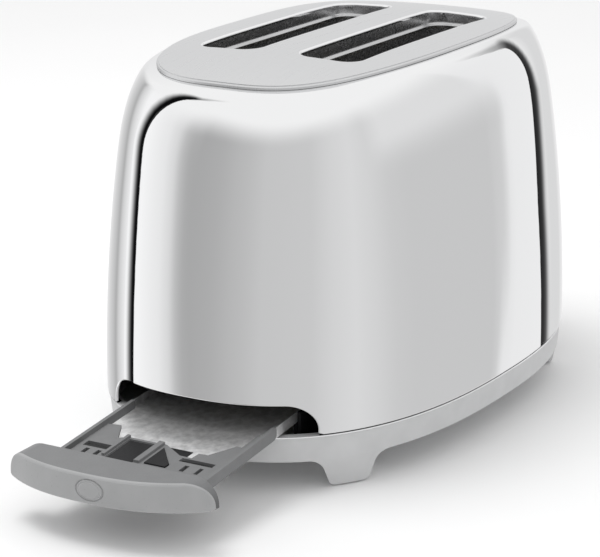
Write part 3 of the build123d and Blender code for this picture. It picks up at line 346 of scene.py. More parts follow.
def shell_keep(angle, height, places):
    """Positive where the shell has metal, in millimetres from the nearest opening."""
    x, y, z = places[..., 0], places[..., 1], places[..., 2]
    tray = rounded_box(y - tray_centre, z, tray_half_width, tray_top, tray_corner)
    dial = np.hypot(y, z - dial_height) - dial_hole
    buttons = rounded_box(
        y, z - button_height, button_half_length, button_half_height, button_half_height,
    )
    lever_middle = (lever_slot_low + lever_slot_high) / 2
    lever_half = (lever_slot_high - lever_slot_low) / 2
    lever = rounded_box(
        y, z - lever_middle, lever_slot_half_width, lever_half, lever_slot_half_width,
    )
    lever_end = np.minimum(np.minimum(dial, buttons), lever)
    opening = np.where(x < 0, tray, lever_end)
    return np.minimum(opening, z - shell_bottom) - edge_round


def plate_place(angle, inset):
    """Place on the plate's top at an angle and a distance in from its rim."""
    x, y = oval_place(plate_half_length - inset, plate_half_width - inset, plate_exponent, angle)
    return np.stack([x, y, crown_at(x, y)], -1)


def plate_keep(angle, inset, places):
    """Positive where the plate has metal."""
    x, y = places[..., 0] - slot_centre_x, np.abs(places[..., 1]) - slot_centre_y
    slot = rounded_box(x, y, slot_half_length, slot_half_width, slot_corner)
    return np.minimum(slot - slot_edge_round, inset - plate_edge_round)


def keep_all(u, v, places):
    """Positive everywhere, for a surface that isn't cut."""
    return 1.0 + 0 * u


def spaced(start, finish, coarse, bands):
    """Values from start to finish, a coarse step apart, and finer inside the bands."""
    values = [start]
    while values[-1] < finish:
        step = coarse
        for low, high, fine in bands:
            if low < values[-1] < high:
                step = min(step, fine)
            elif values[-1] <= low < values[-1] + step:
                step = max(low - values[-1] + band_entry, fine)
        values.append(values[-1] + step)
    values[-1] = finish
    return np.array(values)


def clipped_patch(place, keep, us, vs, reach, closed):
    """Faces of a surface over a grid, cut where keep is negative.
    Returns the vertices, their normals and parameters, the faces, the segments of the cut
    and each vertex's own number."""
    count_u = len(us) - 1 if closed else len(us)
    u, v = np.meshgrid(us[:count_u], vs, indexing="ij")
    values = keep(u, v, place(u, v))
    index = np.arange(u.size).reshape(u.shape)
    grid_u, grid_v = u.ravel(), v.ravel()
    cells_i = np.arange(len(us) - 1)
    next_i = (cells_i + 1) % count_u if closed else cells_i + 1
    corners = np.stack([
        index[cells_i][:, :-1], index[next_i][:, :-1],
        index[next_i][:, 1:], index[cells_i][:, 1:],
    ], -1)
    inside = values.ravel()[corners] > 0
    count = inside.sum(-1)
    faces = [tuple(c) for c in corners[count == 4]]
    mixed = np.argwhere((count > 0) & (count < 4))
    crossings, edges, segments = {}, [], []
    for i, j in mixed:
        cell, flags = corners[i, j], inside[i, j]
        params = [
            (us[i], vs[j]), (us[i + 1], vs[j]), (us[i + 1], vs[j + 1]), (us[i], vs[j + 1]),
        ]
        polygon, cuts = [], []
        for a in range(4):
            b = (a + 1) % 4
            if flags[a]:
                polygon.append(int(cell[a]))
            if flags[a] != flags[b]:
                key = (min(cell[a], cell[b]), max(cell[a], cell[b]))
                if key not in crossings:
                    crossings[key] = u.size + len(edges)
                    inner, outer = (a, b) if flags[a] else (b, a)
                    edges.append(params[inner] + params[outer])
                polygon.append(crossings[key])
                cuts.append((crossings[key], bool(flags[a])))
        faces.append(tuple(polygon))
        leaving = [k for k, out in cuts if out]
        entering = [k for k, out in cuts if not out]
        if len(leaving) == 1:
            segments.append((leaving[0], entering[0]))
    if edges:
        low, high = np.array(edges)[:, :2], np.array(edges)[:, 2:]
        for _ in range(cut_halvings):
            middle = (low + high) / 2
            mid_u, mid_v = middle[:, 0], middle[:, 1]
            positive = keep(mid_u, mid_v, place(mid_u, mid_v))[:, None] > 0
            low = np.where(positive, middle, low)
            high = np.where(positive, high, middle)
        grid_u, grid_v = np.append(grid_u, low[:, 0]), np.append(grid_v, low[:, 1])
    places = place(grid_u, grid_v)
    normals = surface_normal(place, grid_u, grid_v, reach)
    return places, normals, (grid_u, grid_v), faces, segments, np.arange(len(places))


def add_rim(place, keep, reach, made, profile, chosen=None, run_to=None):
    """Turns a cut edge over: profile is a list of (towards the hole, down, turn of the normal).
    chosen picks the cut's segments by their parameters, and run_to moves the last ring to a
    place along X. The numbers returned say which vertex of the patch each one came from."""
    places, normals, (u, v), faces, segments, source = made
    if chosen is not None:
        segments = [pair for pair in segments if chosen(u[list(pair)], v[list(pair)])]
    rim = sorted({k for pair in segments for k in pair})
    ru, rv = u[rim], v[rim]
    along, across = slopes(place, ru, rv, reach)

    def value(a, b):
        return keep(a, b, place(a, b))

    slope_u = (value(ru + reach[0], rv) - value(ru - reach[0], rv)) / (2 * reach[0])
    slope_v = (value(ru, rv + reach[1]) - value(ru, rv - reach[1])) / (2 * reach[1])
    uu, uv, vv = (along * along).sum(-1), (along * across).sum(-1), (across * across).sum(-1)
    area = uu * vv - uv * uv
    part_u = (vv * slope_u - uv * slope_v) / area
    part_v = (uu * slope_v - uv * slope_u) / area
    towards = -unit(part_u[:, None] * along + part_v[:, None] * across)
    base, down = places[rim], normals[rim]
    rings = [dict(zip(rim, rim))]
    for step, (reach_in, depth, turn) in enumerate(profile):
        start = len(places)
        ring = base + towards * reach_in - down * depth
        if run_to is not None and step == len(profile) - 1:
            ring[:, 0] = run_to
        places = np.vstack([places, ring])
        normals = np.vstack([normals, down * cos(turn) + towards * sin(turn)])
        source = np.append(source, rim)
        rings.append({k: start + n for n, k in enumerate(rim)})
    faces = list(faces)
    for a, b in segments:
        for outer, inner in zip(rings[:-1], rings[1:]):
            faces.append((outer[b], outer[a], inner[a], inner[b]))
    return places, normals, (u, v), faces, made[4], source


def cut_only(made):
    """A patch without its faces, so that only a rim is made along its cut."""
    return (*made[:3], [], *made[4:])


def round_over(radius, depth, steps=4):
    """Profile of a rounded edge that then runs straight down."""
    turns = [pi / 2 * k / steps for k in range(1, steps + 1)]
    profile = [(radius * sin(t), radius * (1 - cos(t)), t) for t in turns]
    return profile + [(radius, depth, pi / 2)]


def mesh_piece(name, made, slot, body, turned=False):
    """A piece of mesh with its own normals, riding on a body if one is named.
    Returns the piece, and which of the vertices it uses."""
    places, normals, _, faces = made[:4]
    used = np.zeros(len(places), bool)
    used[[k for face in faces for k in face]] = True
    fresh = np.cumsum(used) - 1
    order = -1 if turned else 1
    corners = [tuple(int(fresh[k]) for k in face[::order]) for face in faces]
    mesh = bpy.data.meshes.new(name)
    mesh.from_pydata((places[used] * MM).tolist(), [], corners)
    mesh.validate()
    mesh.polygons.foreach_set("use_smooth", np.ones(len(mesh.polygons), bool))
    mesh.normals_split_custom_set_from_vertices((order * unit(normals[used])).tolist())
    piece = bpy.data.objects.new(name, mesh)
    bpy.context.scene.collection.objects.link(piece)
    mesh.materials.append(materials[slot])
    if body:
        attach(piece, body)
    return piece, used


def colour_ramp(nodes, links, factor, stops):
    """Colours spread over a factor, from stops of (position, colour)."""
    ramp = nodes.new("ShaderNodeValToRGB")
    elements = ramp.color_ramp.elements
    while len(elements) < len(stops):
        elements.new(0.5)
    for element, (position, colour) in zip(elements, stops):
        element.position = position
        element.color = (*colour, 1)
    links.new(factor, ramp.inputs["Fac"])
    return ramp.outputs["Color"]


class Finish:
    """A procedural material: a Principled shader whose colour, gloss and bump come from noise."""

    def __init__(self, name, colour, metallic, roughness):
        self.material = bpy.data.materials.new(name)
        self.material.use_nodes = True
        self.nodes = self.material.node_tree.nodes
        self.links = self.material.node_tree.links
        self.shader = self.nodes["Principled BSDF"]
        self.shader.inputs["Base Color"].default_value = (*colour, 1)
        self.shader.inputs["Metallic"].default_value = metallic
        self.shader.inputs["Roughness"].default_value = roughness
        self.colour, self.roughness = colour, roughness
        self.coordinates = self.nodes.new("ShaderNodeTexCoord")

    def noise(self, scale, detail=3.0, stretch=(1, 1, 1)):
        """Noise with features about 1/scale metres wide, stretched along the axes."""
        mapping = self.nodes.new("ShaderNodeMapping")
        mapping.inputs["Scale"].default_value = stretch
        noise = self.nodes.new("ShaderNodeTexNoise")
        noise.inputs["Scale"].default_value = scale
        noise.inputs["Detail"].default_value = detail
        self.links.new(self.coordinates.outputs["Object"], mapping.inputs["Vector"])
        self.links.new(mapping.outputs["Vector"], noise.inputs["Vector"])
        return noise.outputs["Fac"]

    def colour_by(self, factor, stops):
        """Colours the surface by a factor."""
        colour = colour_ramp(self.nodes, self.links, factor, stops)
        self.links.new(colour, self.shader.inputs["Base Color"])

    def tone(self, factor, spread):
        """Varies the colour by a share to each side."""
        dark = tuple(c * (1 - spread) for c in self.colour)
        light = tuple(min(c * (1 + spread), 1.0) for c in self.colour)
        self.colour_by(factor, list(zip(noise_span, (dark, light))))

    def gloss(self, factor, spread):
        """Varies the roughness to each side."""
        span = self.nodes.new("ShaderNodeMapRange")
        span.inputs["From Min"].default_value = noise_span[0]
        span.inputs["From Max"].default_value = noise_span[1]
        span.inputs["To Min"].default_value = max(self.roughness - spread, least_roughness)
        span.inputs["To Max"].default_value = self.roughness + spread
        self.links.new(factor, span.inputs["Value"])
        self.links.new(span.outputs["Result"], self.shader.inputs["Roughness"])

    def bump(self, factor, height):
        """Raises the surface by a height in millimetres."""
        bump = self.nodes.new("ShaderNodeBump")
        bump.inputs["Distance"].default_value = height * MM
        bump.inputs["Strength"].default_value = 1.0
        self.links.new(factor, bump.inputs["Height"])
        self.links.new(bump.outputs["Normal"], self.shader.inputs["Normal"])


# Part of the noise's range that the tones and the gloss are spread over
noise_span = (0.3, 0.7)
least_roughness = 0.01

# Chrome: its gloss is a little uneven, and its colour is painted black inside the creases as
# painted shade
chrome_base = ((0.965, 0.968, 0.972), 1.0, 0.035)
chrome_cloud_scale = 60
chrome_cloud_gloss = 0.008
crease_shade_colour = (0.006, 0.006, 0.007)

# Brushed plate: strokes that are long in X
brushed_base = ((0.74, 0.744, 0.75), 1.0, 0.3)
stroke_scale = 2200
stroke_stretch = (0.012, 1, 0.1)
stroke_tone = 0.018
stroke_gloss = 0.03
stroke_height = 0.0002

# Spangled sheet: coarse flakes under a fine grain
sheet_base = ((0.86, 0.86, 0.86), 0.8, 0.38)
flake_scale = 260
flake_detail = 5.0
flake_tone = 0.22
sheet_grain_scale = 1100
sheet_grain_gloss = 0.08
sheet_grain_height = 0.008

# Plain finishes: colour, metallic, roughness, scale of the grain and its height
plain_finishes = {
    "black_trim": ((0.012, 0.012, 0.013), 0.0, 0.35, 900, 0.02),
    "dark_liner": ((0.62, 0.62, 0.625), 1.0, 0.26, 500, 0.0002),
    "silver_plastic": ((0.60, 0.604, 0.608), 0.0, 0.34, 900, 0.0006),
    "grey_rubber": ((0.11, 0.11, 0.115), 0.0, 0.7, 900, 0.05),
    "zinc_screw": ((0.55, 0.56, 0.58), 1.0, 0.3, 900, 0.01),
    "badge_plastic": ((0.37, 0.373, 0.376), 0.0, 0.3, 900, 0.0006),
    "grey_plastic": ((0.18, 0.182, 0.185), 0.0, 0.42, 1200, 0.006),
    "steel_wire": ((0.5, 0.5, 0.5), 1.0, 0.28, 900, 0.01),
    "magnet_iron": ((0.32, 0.31, 0.3), 0.9, 0.45, 500, 0.02),
    "copper_winding": ((0.72, 0.34, 0.16), 1.0, 0.3, 600, 0.02),
    "black_knob": ((0.02, 0.02, 0.021), 0.0, 0.28, 1200, 0.01),
    "board_laminate": ((0.05, 0.16, 0.07), 0.0, 0.45, 500, 0.01),
    "mica_board": ((0.56, 0.5, 0.38), 0.0, 0.5, 300, 0.02),
    "ribbon_alloy": ((0.42, 0.4, 0.38), 1.0, 0.35, 800, 0.01),
}
grain_detail = 4.0
drift_detail = 2.0
drift_width = 12
drift_tone = 0.04
grain_gloss = 0.1
trim_specular = 0.12


def plain_finish(name, colour, metallic, roughness, grain, height):
    """Finish with a soft colour drift, an uneven gloss and a fine grain."""
    finish = Finish(name, colour, metallic, roughness)
    fine = finish.noise(grain, grain_detail)
    finish.tone(finish.noise(grain / drift_width, drift_detail), drift_tone)
    finish.gloss(fine, roughness * grain_gloss)
    finish.bump(fine, height)
    return finish


def chrome_finish(name):
    """Mirror chrome whose colour is painted black inside the creases, as painted shade."""
    finish = Finish(name, *chrome_base)
    finish.gloss(finish.noise(chrome_cloud_scale), chrome_cloud_gloss)
    shade = finish.nodes.new("ShaderNodeAttribute")
    shade.attribute_name = "crease_shade"
    finish.colour_by(shade.outputs["Fac"], [(0.0, finish.colour), (1.0, crease_shade_colour)])
    return finish


def brushed_finish(name):
    """Plate brushed along the slots."""
    finish = Finish(name, *brushed_base)
    strokes = finish.noise(stroke_scale, stretch=stroke_stretch)
    finish.tone(strokes, stroke_tone)
    finish.gloss(strokes, stroke_gloss)
    finish.bump(strokes, stroke_height)
    return finish


def speckled_finish(name):
    """Spangled sheet of the crumb pan and the chassis."""
    finish = Finish(name, *sheet_base)
    finish.tone(finish.noise(flake_scale, flake_detail), flake_tone)
    fine = finish.noise(sheet_grain_scale, grain_detail)
    finish.gloss(fine, sheet_grain_gloss)
    finish.bump(fine, sheet_grain_height)
    return finish


def make_materials():
    """One material for each of the record's slots."""
    finishes = {
        "polished_chrome": chrome_finish("polished_chrome"),
        "brushed_plate": brushed_finish("brushed_plate"),
        "galvanised_sheet": speckled_finish("galvanised_sheet"),
    }
    for name, values in plain_finishes.items():
        finishes[name] = plain_finish(name, *values)
    trim = finishes["black_trim"].shader
    trim.inputs["Specular IOR Level"].default_value = trim_specular
    return {name: finish.material for name, finish in finishes.items()}


materials = make_materials()


def dress_frame():
    """Gives every CAD node the material of its slot in the record."""
    for part in frame["record"]["subparts"]:
        node = frame["nodes"][part["node"]]
        node.data.materials.clear()
        node.data.materials.append(materials[part["material_slot"]])


def make_shell():
    """The chrome shell: one drawn sheet with creases, openings and a turned edge."""
    bands = [tuple(radians(value) for value in band) for band in shell_column_bands]
    angles = spaced(0.0, 2 * pi, radians(shell_column_step), bands)
    heights = spaced(*shell_rows, shell_row_step, shell_row_bands)
    made = clipped_patch(shell_place, shell_keep, angles, heights, SHELL_REACH, True)
    u, v = made[2]
    # Painted shade: how far each point of the chrome is darkened in the creases
    shade = crease_shade(bare_shell(u, v), v)
    turned_edge = round_over(edge_round, edge_return)
    made = add_rim(shell_place, shell_keep, SHELL_REACH, made, turned_edge)
    shell, used = mesh_piece("chrome_shell", made, "polished_chrome", "housing")
    attribute = shell.data.attributes.new("crease_shade", "FLOAT", "POINT")
    attribute.data.foreach_set("value", shade[made[5]][used].astype(np.float32))
    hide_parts("outer_shell", "crease_strips")


base_rim_inset = 0.7
base_rim_height = 28.15
base_rim_radius = 0.4
base_rim_columns = 361
base_rim_rows = 7


def base_rim_place(angle, turn):
    """Place on the thin bright edge along the top of the base."""
    reach = base_rim_radius * np.cos(turn) - base_rim_inset
    x, y = oval_place(body_half_length + reach, body_half_width + reach, body_exponent, angle)
    return np.stack([x, y, base_rim_height + base_rim_radius * np.sin(turn)], -1)


def make_base_rim():
    """The bright edge along the top of the base."""
    angles = np.linspace(0, 2 * pi, base_rim_columns)
    turns = np.linspace(-pi / 2, pi / 2, base_rim_rows)
    made = clipped_patch(base_rim_place, keep_all, angles, turns, BASE_RIM_REACH, True)
    mesh_piece("base_rim", made, "polished_chrome", "housing")


def inner_place(angle, height):
    """Place on the inner face of the shell's wall."""
    normal = surface_normal(bare_shell, angle, height, SHELL_REACH)
    return bare_shell(angle, height) - normal * inner_skin


def make_shell_inside():
    """The bare inner face of the shell, made near-black as painted shade for the dark inside of
    the body.
    """
    angles = np.linspace(0, 2 * pi, inside_columns)
    heights = spaced(*inside_rows, inside_row_step, inside_row_bands)
    made = clipped_patch(inner_place, shell_keep, angles, heights, SHELL_REACH, True)
    mesh_piece("shell_inside", made, "black_trim", "housing", turned=True)


def make_plate():
    """The brushed top plate on its grey ring, with turned slot edges."""
    angles = np.linspace(0, 2 * pi, plate_columns)
    insets = spaced(*plate_rows, plate_row_step, plate_row_bands)
    made = clipped_patch(plate_place, plate_keep, angles, insets, PLATE_REACH, True)
    made = add_rim(
        plate_place, plate_keep, PLATE_REACH, made, plate_edge_profile,
        lambda angle, inset: inset.max() < plate_edge_zone,
    )
    plate, _ = mesh_piece("brushed_top_plate", made, "brushed_plate", "housing")
    slot_edge = round_over(slot_edge_round, plate_side)
    edges = add_rim(
        plate_place, plate_keep, PLATE_REACH, cut_only(made), slot_edge,
        lambda angle, inset: inset.min() > plate_edge_zone,
    )
    mesh_piece("rolled_slot_edges", edges, "polished_chrome", "housing")
    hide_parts("top_plate")


# Outline of a slot as a run along its flats and round its corners, from the flat at its +X end
slot_flat_length = slot_half_length - slot_corner
slot_flat_width = slot_half_width - slot_corner
slot_arc = slot_corner * pi / 2
slot_knots = np.cumsum([0.0] + 2 * [
    2 * slot_flat_width, slot_arc, 2 * slot_flat_length, slot_arc,
])
slot_arc_x = np.array([1, 1, 1, -1, -1, -1, -1, 1, 1]) * slot_flat_length
slot_arc_y = np.array([-1, 1, 1, 1, 1, -1, -1, -1, -1]) * slot_flat_width
slot_turns = np.array([0, 0, 1, 1, 2, 2, 3, 3, 4]) * pi / 2


def liner_place(share, run, side):
    """Place on a slot liner: a share of the way up, and a run round the slot's outline."""
    turn = np.interp(run, slot_knots, slot_turns)
    base_x = slot_centre_x + np.interp(run, slot_knots, slot_arc_x)
    base_y = side * slot_centre_y + np.interp(run, slot_knots, slot_arc_y)
    edge_x = base_x + slot_corner * np.cos(turn)
    edge_y = base_y + slot_corner * np.sin(turn)
    z = liner_bottom + (crown_at(edge_x, edge_y) - liner_top_drop - liner_bottom) * share
    bead = liner_bead * np.exp(-((z - liner_bead_height) / liner_bead_width) ** 2)
    radius = slot_corner + liner_set_back - bead
    return np.stack([base_x + radius * np.cos(turn), base_y + radius * np.sin(turn), z], -1)


def make_liners():
    """The two slot liners, each with a bead part way down."""
    shares = spaced(0.0, 1.0, liner_row_step, liner_row_bands)
    bends = [(low, high, liner_bend_step) for low, high in zip(slot_knots[1::2], slot_knots[2::2])]
    runs = spaced(0.0, slot_knots[-1], liner_run_step, bends)
    for side, name in ((-1, "rear"), (1, "front")):
        made = clipped_patch(
            lambda share, run: liner_place(share, run, side), keep_all,
            shares, runs, LINER_REACH, False,
        )
        liner, _ = mesh_piece("slot_liner_wall_" + name, made, "dark_liner", "housing")
        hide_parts("slot_liner_" + name)


# Tray front: a silver face with a bevel, and a grey ledge behind it
tray_pull_x = 87.02
front_back = -215.02
front_bottom = 20.25
front_top = 34.25
front_half_width = 54.3
front_corner = 11.8
front_half_length = 151.7
front_oval_width = 94.7
front_bevel = 1.1
front_bevel_skirt = 0.5
ledge_lap = 0.02
front_margins = (1.0, 0.5)
front_steps = (1.0, 0.7)

# Oval pad on the front: a low dome inside a groove and a ring, by share of the way out
badge_middle = (-5.0, 27.25)
badge_half = (7.0, 4.8)
badge_groove = 0.55
badge_sink = 0.6
badge_proud = 0.35
badge_ring = 0.2
badge_dome_edge = (0.72, 0.84)
badge_ring_edge = (0.84, 0.9)
badge_fall_edge = (0.93, 1.0)
badge_zone = (8.4, 6)
badge_step = 0.2
badge_shares = np.append(np.linspace(0.01, 0.7, 8), np.linspace(0.72, 1.0, 22))
badge_columns = 97


def front_reach(y):
    """How far the tray's face bows out at a place across it."""
    share = np.abs(y / front_oval_width) ** body_exponent
    return front_half_length * (1 - share) ** (1 / body_exponent)


def front_place(z, y):
    """Place on the tray front's curved face, with a sunk seat for the pad."""
    off_y, off_z = (y - badge_middle[0]) / badge_half[0], (z - badge_middle[1]) / badge_half[1]
    beyond = (np.hypot(off_y, off_z) - 1) * badge_half[1]
    sink = badge_sink * (1 - smooth_step(badge_groove / 2, badge_groove, beyond))
    return np.stack([sink - tray_pull_x - front_reach(y), y, z + 0 * y], -1)


def front_keep(z, y, places):
    """Positive inside the front's outline, which has large upper corners."""
    tall = rounded_box(y - tray_centre, z, front_half_width, front_top, front_corner)
    return np.minimum(-tall, z - front_bottom) - front_bevel


def front_back_place(y, z):
    """Place on the flat back of the tray front."""
    return front_place(z, y) * (0, 1, 1) + (front_back, 0, 0)


def front_back_keep(y, z, places):
    """Positive inside the outline of the flat back."""
    return front_keep(z, y, places)


def badge_place(share, angle):
    """Place on the oval pad, a share of the way out from its middle."""
    y = badge_middle[0] - badge_half[0] * share * np.cos(angle)
    z = badge_middle[1] + badge_half[1] * share * np.sin(angle)
    dome = badge_proud * (1 - smooth_step(*badge_dome_edge, share))
    rise = dome + badge_ring * smooth_step(*badge_ring_edge, share)
    fall = badge_sink * smooth_step(*badge_fall_edge, share)
    return np.stack([fall - rise - tray_pull_x - front_reach(y), y, z], -1)


def front_spacing(low, high, axis):
    """Values across or up the tray's front, a margin wider than it and finer round the pad."""
    middle, half = badge_middle[axis], badge_zone[axis]
    fine = (middle - half, middle + half, badge_step)
    margin = front_margins[axis]
    return spaced(low - margin, high + margin, front_steps[axis], [fine])


def make_tray_front():
    """The tray's front: silver face with a bevel, grey ledge and back, and an oval pad."""
    ys = front_spacing(tray_centre - front_half_width, tray_centre + front_half_width, 0)
    zs = front_spacing(front_bottom, front_top, 1)
    face = clipped_patch(front_place, front_keep, zs, ys, FRONT_REACH, False)
    bevel = round_over(front_bevel, front_bevel + front_bevel_skirt)
    bevelled = add_rim(front_place, front_keep, FRONT_REACH, face, bevel)
    front, _ = mesh_piece("tray_front_face", bevelled, "badge_plastic", "tray")
    # Each segment gets two faces, and only the second, from under the bevel to the back, is kept
    start = (front_bevel - ledge_lap, front_bevel, pi / 2)
    end = (front_bevel - ledge_lap, 0.0, pi / 2)
    strip = add_rim(
        front_place, front_keep, FRONT_REACH, cut_only(face), [start, end], None, front_back,
    )
    strip[3][:] = strip[3][1::2]
    ledge, _ = mesh_piece("tray_front_ledge", strip, "grey_plastic", "tray")
    back = clipped_patch(front_back_place, front_back_keep, ys, zs, FRONT_REACH, False)
    rear, _ = mesh_piece("tray_front_back", back, "grey_plastic", "tray")
    angles = np.linspace(0, 2 * pi, badge_columns)
    pad = clipped_patch(badge_place, keep_all, badge_shares, angles, BADGE_REACH, False)
    badge, _ = mesh_piece("tray_push_pad", pad, "badge_plastic", "tray")
    behind = [frame["nodes"][node] for node in ("tray_frame", "tray_latch", "crumb_pan")]
    for piece in [front, ledge, rear, badge] + behind:
        piece.visible_glossy = False
    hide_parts("tray_front")
    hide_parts("tray_badge")


# Floor of the tray's web, on the tray's own axes
tray_origin = (-150.0, -5.0, 34.58)
tray_slope = 6.0
rail_height = 5.6
web_floor_rise = 1.0
web_floor_pads = [(-43.2, 30.2, 8.6, 8.6), (-43.2, -27.0, 8.6, 11.8)]
web_floor_corner = 1.0
web_floor_edge = 0.5
web_floor_xs = np.linspace(-53.0, -33.0, 21)
web_floor_ys = np.linspace(-40.0, 40.0, 61)


def tray_place(x, y):
    """Place on the web's floor from the tray's own plan."""
    lift = web_floor_rise - rail_height
    slope = radians(tray_slope)
    return np.stack([
        tray_origin[0] + x * cos(slope) - lift * sin(slope),
        tray_origin[1] + y,
        tray_origin[2] + x * sin(slope) + lift * cos(slope),
    ], -1)


def web_floor_keep(x, y, places):
    """Positive inside the two pads of the web's floor."""
    return np.maximum(*(
        -rounded_box(x - middle_x, y - middle_y, half_x, half_y, web_floor_corner)
        for middle_x, middle_y, half_x, half_y in web_floor_pads
    ))


def make_web_floor():
    """Near-black floor under the tray web's slots, as painted shade for the dark seen through
    them.
    """
    made = clipped_patch(
        tray_place, web_floor_keep, web_floor_xs, web_floor_ys, FRONT_REACH, False,
    )
    edge = [(0.0, 0.0, pi / 2), (0.0, web_floor_edge, pi / 2)]
    made = add_rim(tray_place, web_floor_keep, FRONT_REACH, made, edge)
    mesh_piece("tray_web_floor", made, "black_trim", "tray")


# Return spring round the rear guide rod, squeezed between the floor and the carriage
spring_axis = (103.8, 40.0)
spring_low, spring_high = 18.9, 107.1
spring_radius = 4.6
spring_wire_radius = 0.6
spring_turns = 14
spring_tip = 0.02
spring_tip_steps = 4
spring_turn_steps = 24
spring_wire_sides = 8


def spring_place(turn, around):
    """Place on the spring's wire after a number of turns, at an angle round the wire."""
    angle = 2 * pi * turn
    from_end = np.minimum(turn, spring_turns - turn)
    closing = np.clip(1 - from_end / spring_tip, 0.0, 1.0)
    wire = spring_wire_radius * np.sqrt(1 - closing * closing)
    reach = spring_radius + wire * np.cos(around)
    rise = spring_low + (spring_high - spring_low) * turn / spring_turns + wire * np.sin(around)
    return np.stack([
        spring_axis[0] + reach * np.cos(angle), spring_axis[1] + reach * np.sin(angle), rise,
    ], -1)


def make_spring():
    """The return spring, made as one fixed coil of wire."""
    tip_step = spring_tip / spring_tip_steps
    ends = [(0.0, spring_tip, tip_step), (spring_turns - spring_tip, spring_turns, tip_step)]
    turns = spaced(0.0, spring_turns, 1 / spring_turn_steps, ends)
    arounds = np.linspace(0, 2 * pi, spring_wire_sides + 1)
    made = clipped_patch(spring_place, keep_all, turns, arounds, SPRING_REACH, False)
    spring, _ = mesh_piece("return_spring_wire", made, "steel_wire", None)
    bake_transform(spring)
    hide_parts("return_spring")


dress_frame()
make_shell()
make_shell_inside()
make_base_rim()
make_plate()
make_liners()
make_tray_front()
make_web_floor()
make_spring()

# Camera, fitted to the photograph
camera_place = (-1067.60, -612.38, 424.59)
camera_yaw = 30.637
camera_pitch = 16.30
camera_roll = -0.272
sensor_width = 36.0
focal_pixels = 2443.4
picture_width = 600.0
principal_x = 311.87


def make_camera():
    """Camera at the photograph's place and angle."""
    yaw, pitch, roll = radians(camera_yaw), radians(camera_pitch), radians(camera_roll)
    ahead = Vector((cos(yaw) * cos(pitch), sin(yaw) * cos(pitch), -sin(pitch)))
    right = Vector((sin(yaw), -cos(yaw), 0))
    above = right.cross(ahead)
    level = cos(roll) * right + sin(roll) * above
    raised = -sin(roll) * right + cos(roll) * above
    data = bpy.data.cameras.new("camera")
    data.sensor_fit = "HORIZONTAL"
    data.sensor_width = sensor_width
    data.lens = focal_pixels / picture_width * sensor_width
    data.shift_x = (picture_width / 2 - principal_x) / picture_width
    camera = bpy.data.objects.new("camera", data)
    turn = Matrix((level, raised, -ahead)).transposed().to_4x4()
    camera.matrix_world = Matrix.Translation(Vector(camera_place) * MM) @ turn
    bpy.context.scene.collection.objects.link(camera)
    bpy.context.scene.camera = camera


# Studio walls by compass direction: (degrees from +X towards +Y, brightness)
studio_walls = [
    (-180, 0.51), (-165, 0.565), (-124, 0.59), (-108, 0.66), (-93, 0.70), (-81, 0.66), (-70, 0.60),
    (-60, 0.58), (-28.5, 0.58), (-26.5, 0.84), (-14, 0.86), (-5, 0.70), (6, 0.70), (15, 0.84),
    (45, 0.80), (68, 0.55), (75, 0.43), (81, 0.64), (96, 0.93), (112, 0.94), (133, 0.82),
    (140, 0.70), (143.5, 0.52), (147, 0.40), (158, 0.43), (170, 0.48),
]
# The same walls higher up, where the side that the panel faces is brighter
bright_side = (-75, -27)
bright_side_level = 0.74
studio_upper_walls = [
    (heading, max(level, bright_side_level if bright_side[0] < heading < bright_side[1] else 0))
    for heading, level in studio_walls
]
studio_blue = 1.004
studio_above = 0.90
studio_wall_low_sine = -0.06
studio_wall_high_sine = 0.16
studio_low_sine = 0.28
studio_high_sine = 0.56


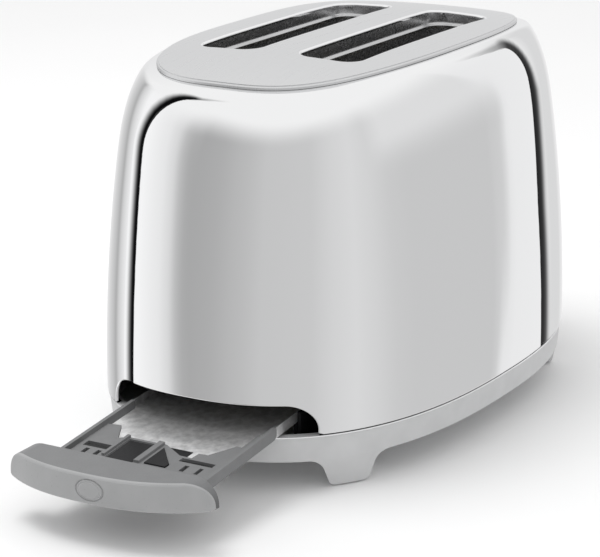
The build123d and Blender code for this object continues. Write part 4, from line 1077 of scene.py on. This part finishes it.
def make_world():
    """Soft studio light: pale walls all round, a brighter ceiling, and white to the camera."""
    world = bpy.data.worlds.new("studio")
    bpy.context.scene.world = world
    world.use_nodes = True
    nodes, links = world.node_tree.nodes, world.node_tree.links
    coordinates = nodes.new("ShaderNodeTexCoord")
    split = nodes.new("ShaderNodeSeparateXYZ")
    links.new(coordinates.outputs["Generated"], split.inputs["Vector"])
    compass = nodes.new("ShaderNodeMath")
    compass.operation = "ARCTAN2"
    links.new(split.outputs["Y"], compass.inputs[0])
    links.new(split.outputs["X"], compass.inputs[1])
    share = nodes.new("ShaderNodeMapRange")
    share.inputs["From Min"].default_value = -pi
    share.inputs["From Max"].default_value = pi
    links.new(compass.outputs[0], share.inputs["Value"])

    def wall_ramp(levels):
        """Brightness all round, which ends at 180 degrees as it starts at -180."""
        stops = [
            ((heading + 180) / 360, (level, level, level * studio_blue))
            for heading, level in levels + [(180, levels[0][1])]
        ]
        return colour_ramp(nodes, links, share.outputs["Result"], stops)

    def blend_up(below, low, high):
        """Blends from what is below into the ceiling's level, between two sines of the height."""
        lift = nodes.new("ShaderNodeMapRange")
        lift.interpolation_type = "SMOOTHSTEP"
        lift.inputs["From Min"].default_value = low
        lift.inputs["From Max"].default_value = high
        links.new(split.outputs["Z"], lift.inputs["Value"])
        mix = nodes.new("ShaderNodeMix")
        mix.data_type = "RGBA"
        mix.inputs["B"].default_value = (studio_above, studio_above, studio_above, 1)
        links.new(lift.outputs["Result"], mix.inputs["Factor"])
        links.new(below, mix.inputs["A"])
        return mix

    walls = blend_up(wall_ramp(studio_walls), studio_wall_low_sine, studio_wall_high_sine)
    links.new(wall_ramp(studio_upper_walls), walls.inputs["B"])
    ceiling = blend_up(walls.outputs["Result"], studio_low_sine, studio_high_sine)
    rays = nodes.new("ShaderNodeLightPath")
    seen = nodes.new("ShaderNodeMix")
    seen.data_type = "RGBA"
    seen.inputs["B"].default_value = (1, 1, 1, 1)
    links.new(rays.outputs["Is Camera Ray"], seen.inputs["Factor"])
    links.new(ceiling.outputs["Result"], seen.inputs["A"])
    links.new(seen.outputs["Result"], nodes["Background"].inputs["Color"])
    nodes["Background"].inputs["Strength"].default_value = 1.0


floor_half_width = 6000.0
floor_base = ((0.93, 0.93, 0.93), 0.0, 0.7)
floor_cloud_scale = 3
floor_cloud_detail = 2.0
floor_cloud_tone = 0.01


def make_floor():
    """Plain pale floor that keeps the object's shadow."""
    reach = floor_half_width * MM
    corners = [(-reach, -reach, 0), (reach, -reach, 0), (reach, reach, 0), (-reach, reach, 0)]
    mesh = bpy.data.meshes.new("floor")
    mesh.from_pydata(corners, [], [(0, 1, 2, 3)])
    floor = bpy.data.objects.new("floor", mesh)
    bpy.context.scene.collection.objects.link(floor)
    finish = Finish("pale_floor", *floor_base)
    finish.tone(finish.noise(floor_cloud_scale, floor_cloud_detail), floor_cloud_tone)
    mesh.materials.append(finish.material)
    floor.visible_glossy = False


key_lamp_place = (-250, 420, 1600)
key_lamp_aim = (-60, 0, 40)
key_lamp_size = 760
key_lamp_power = 10.0


def make_lamp(name, place, aim, size, power):
    """A large soft lamp that isn't mirrored in the chrome."""
    data = bpy.data.lights.new(name, "AREA")
    data.size = size * MM
    data.energy = power
    lamp = bpy.data.objects.new(name, data)
    direction = Vector(aim) - Vector(place)
    turn = direction.to_track_quat("-Z", "Y").to_matrix().to_4x4()
    lamp.matrix_world = Matrix.Translation(Vector(place) * MM) @ turn
    lamp.visible_glossy = False
    bpy.context.scene.collection.objects.link(lamp)


make_camera()
make_world()
make_floor()
make_lamp("key_lamp", key_lamp_place, key_lamp_aim, key_lamp_size, key_lamp_power)

bpy.context.scene.view_settings.view_transform = "Standard"
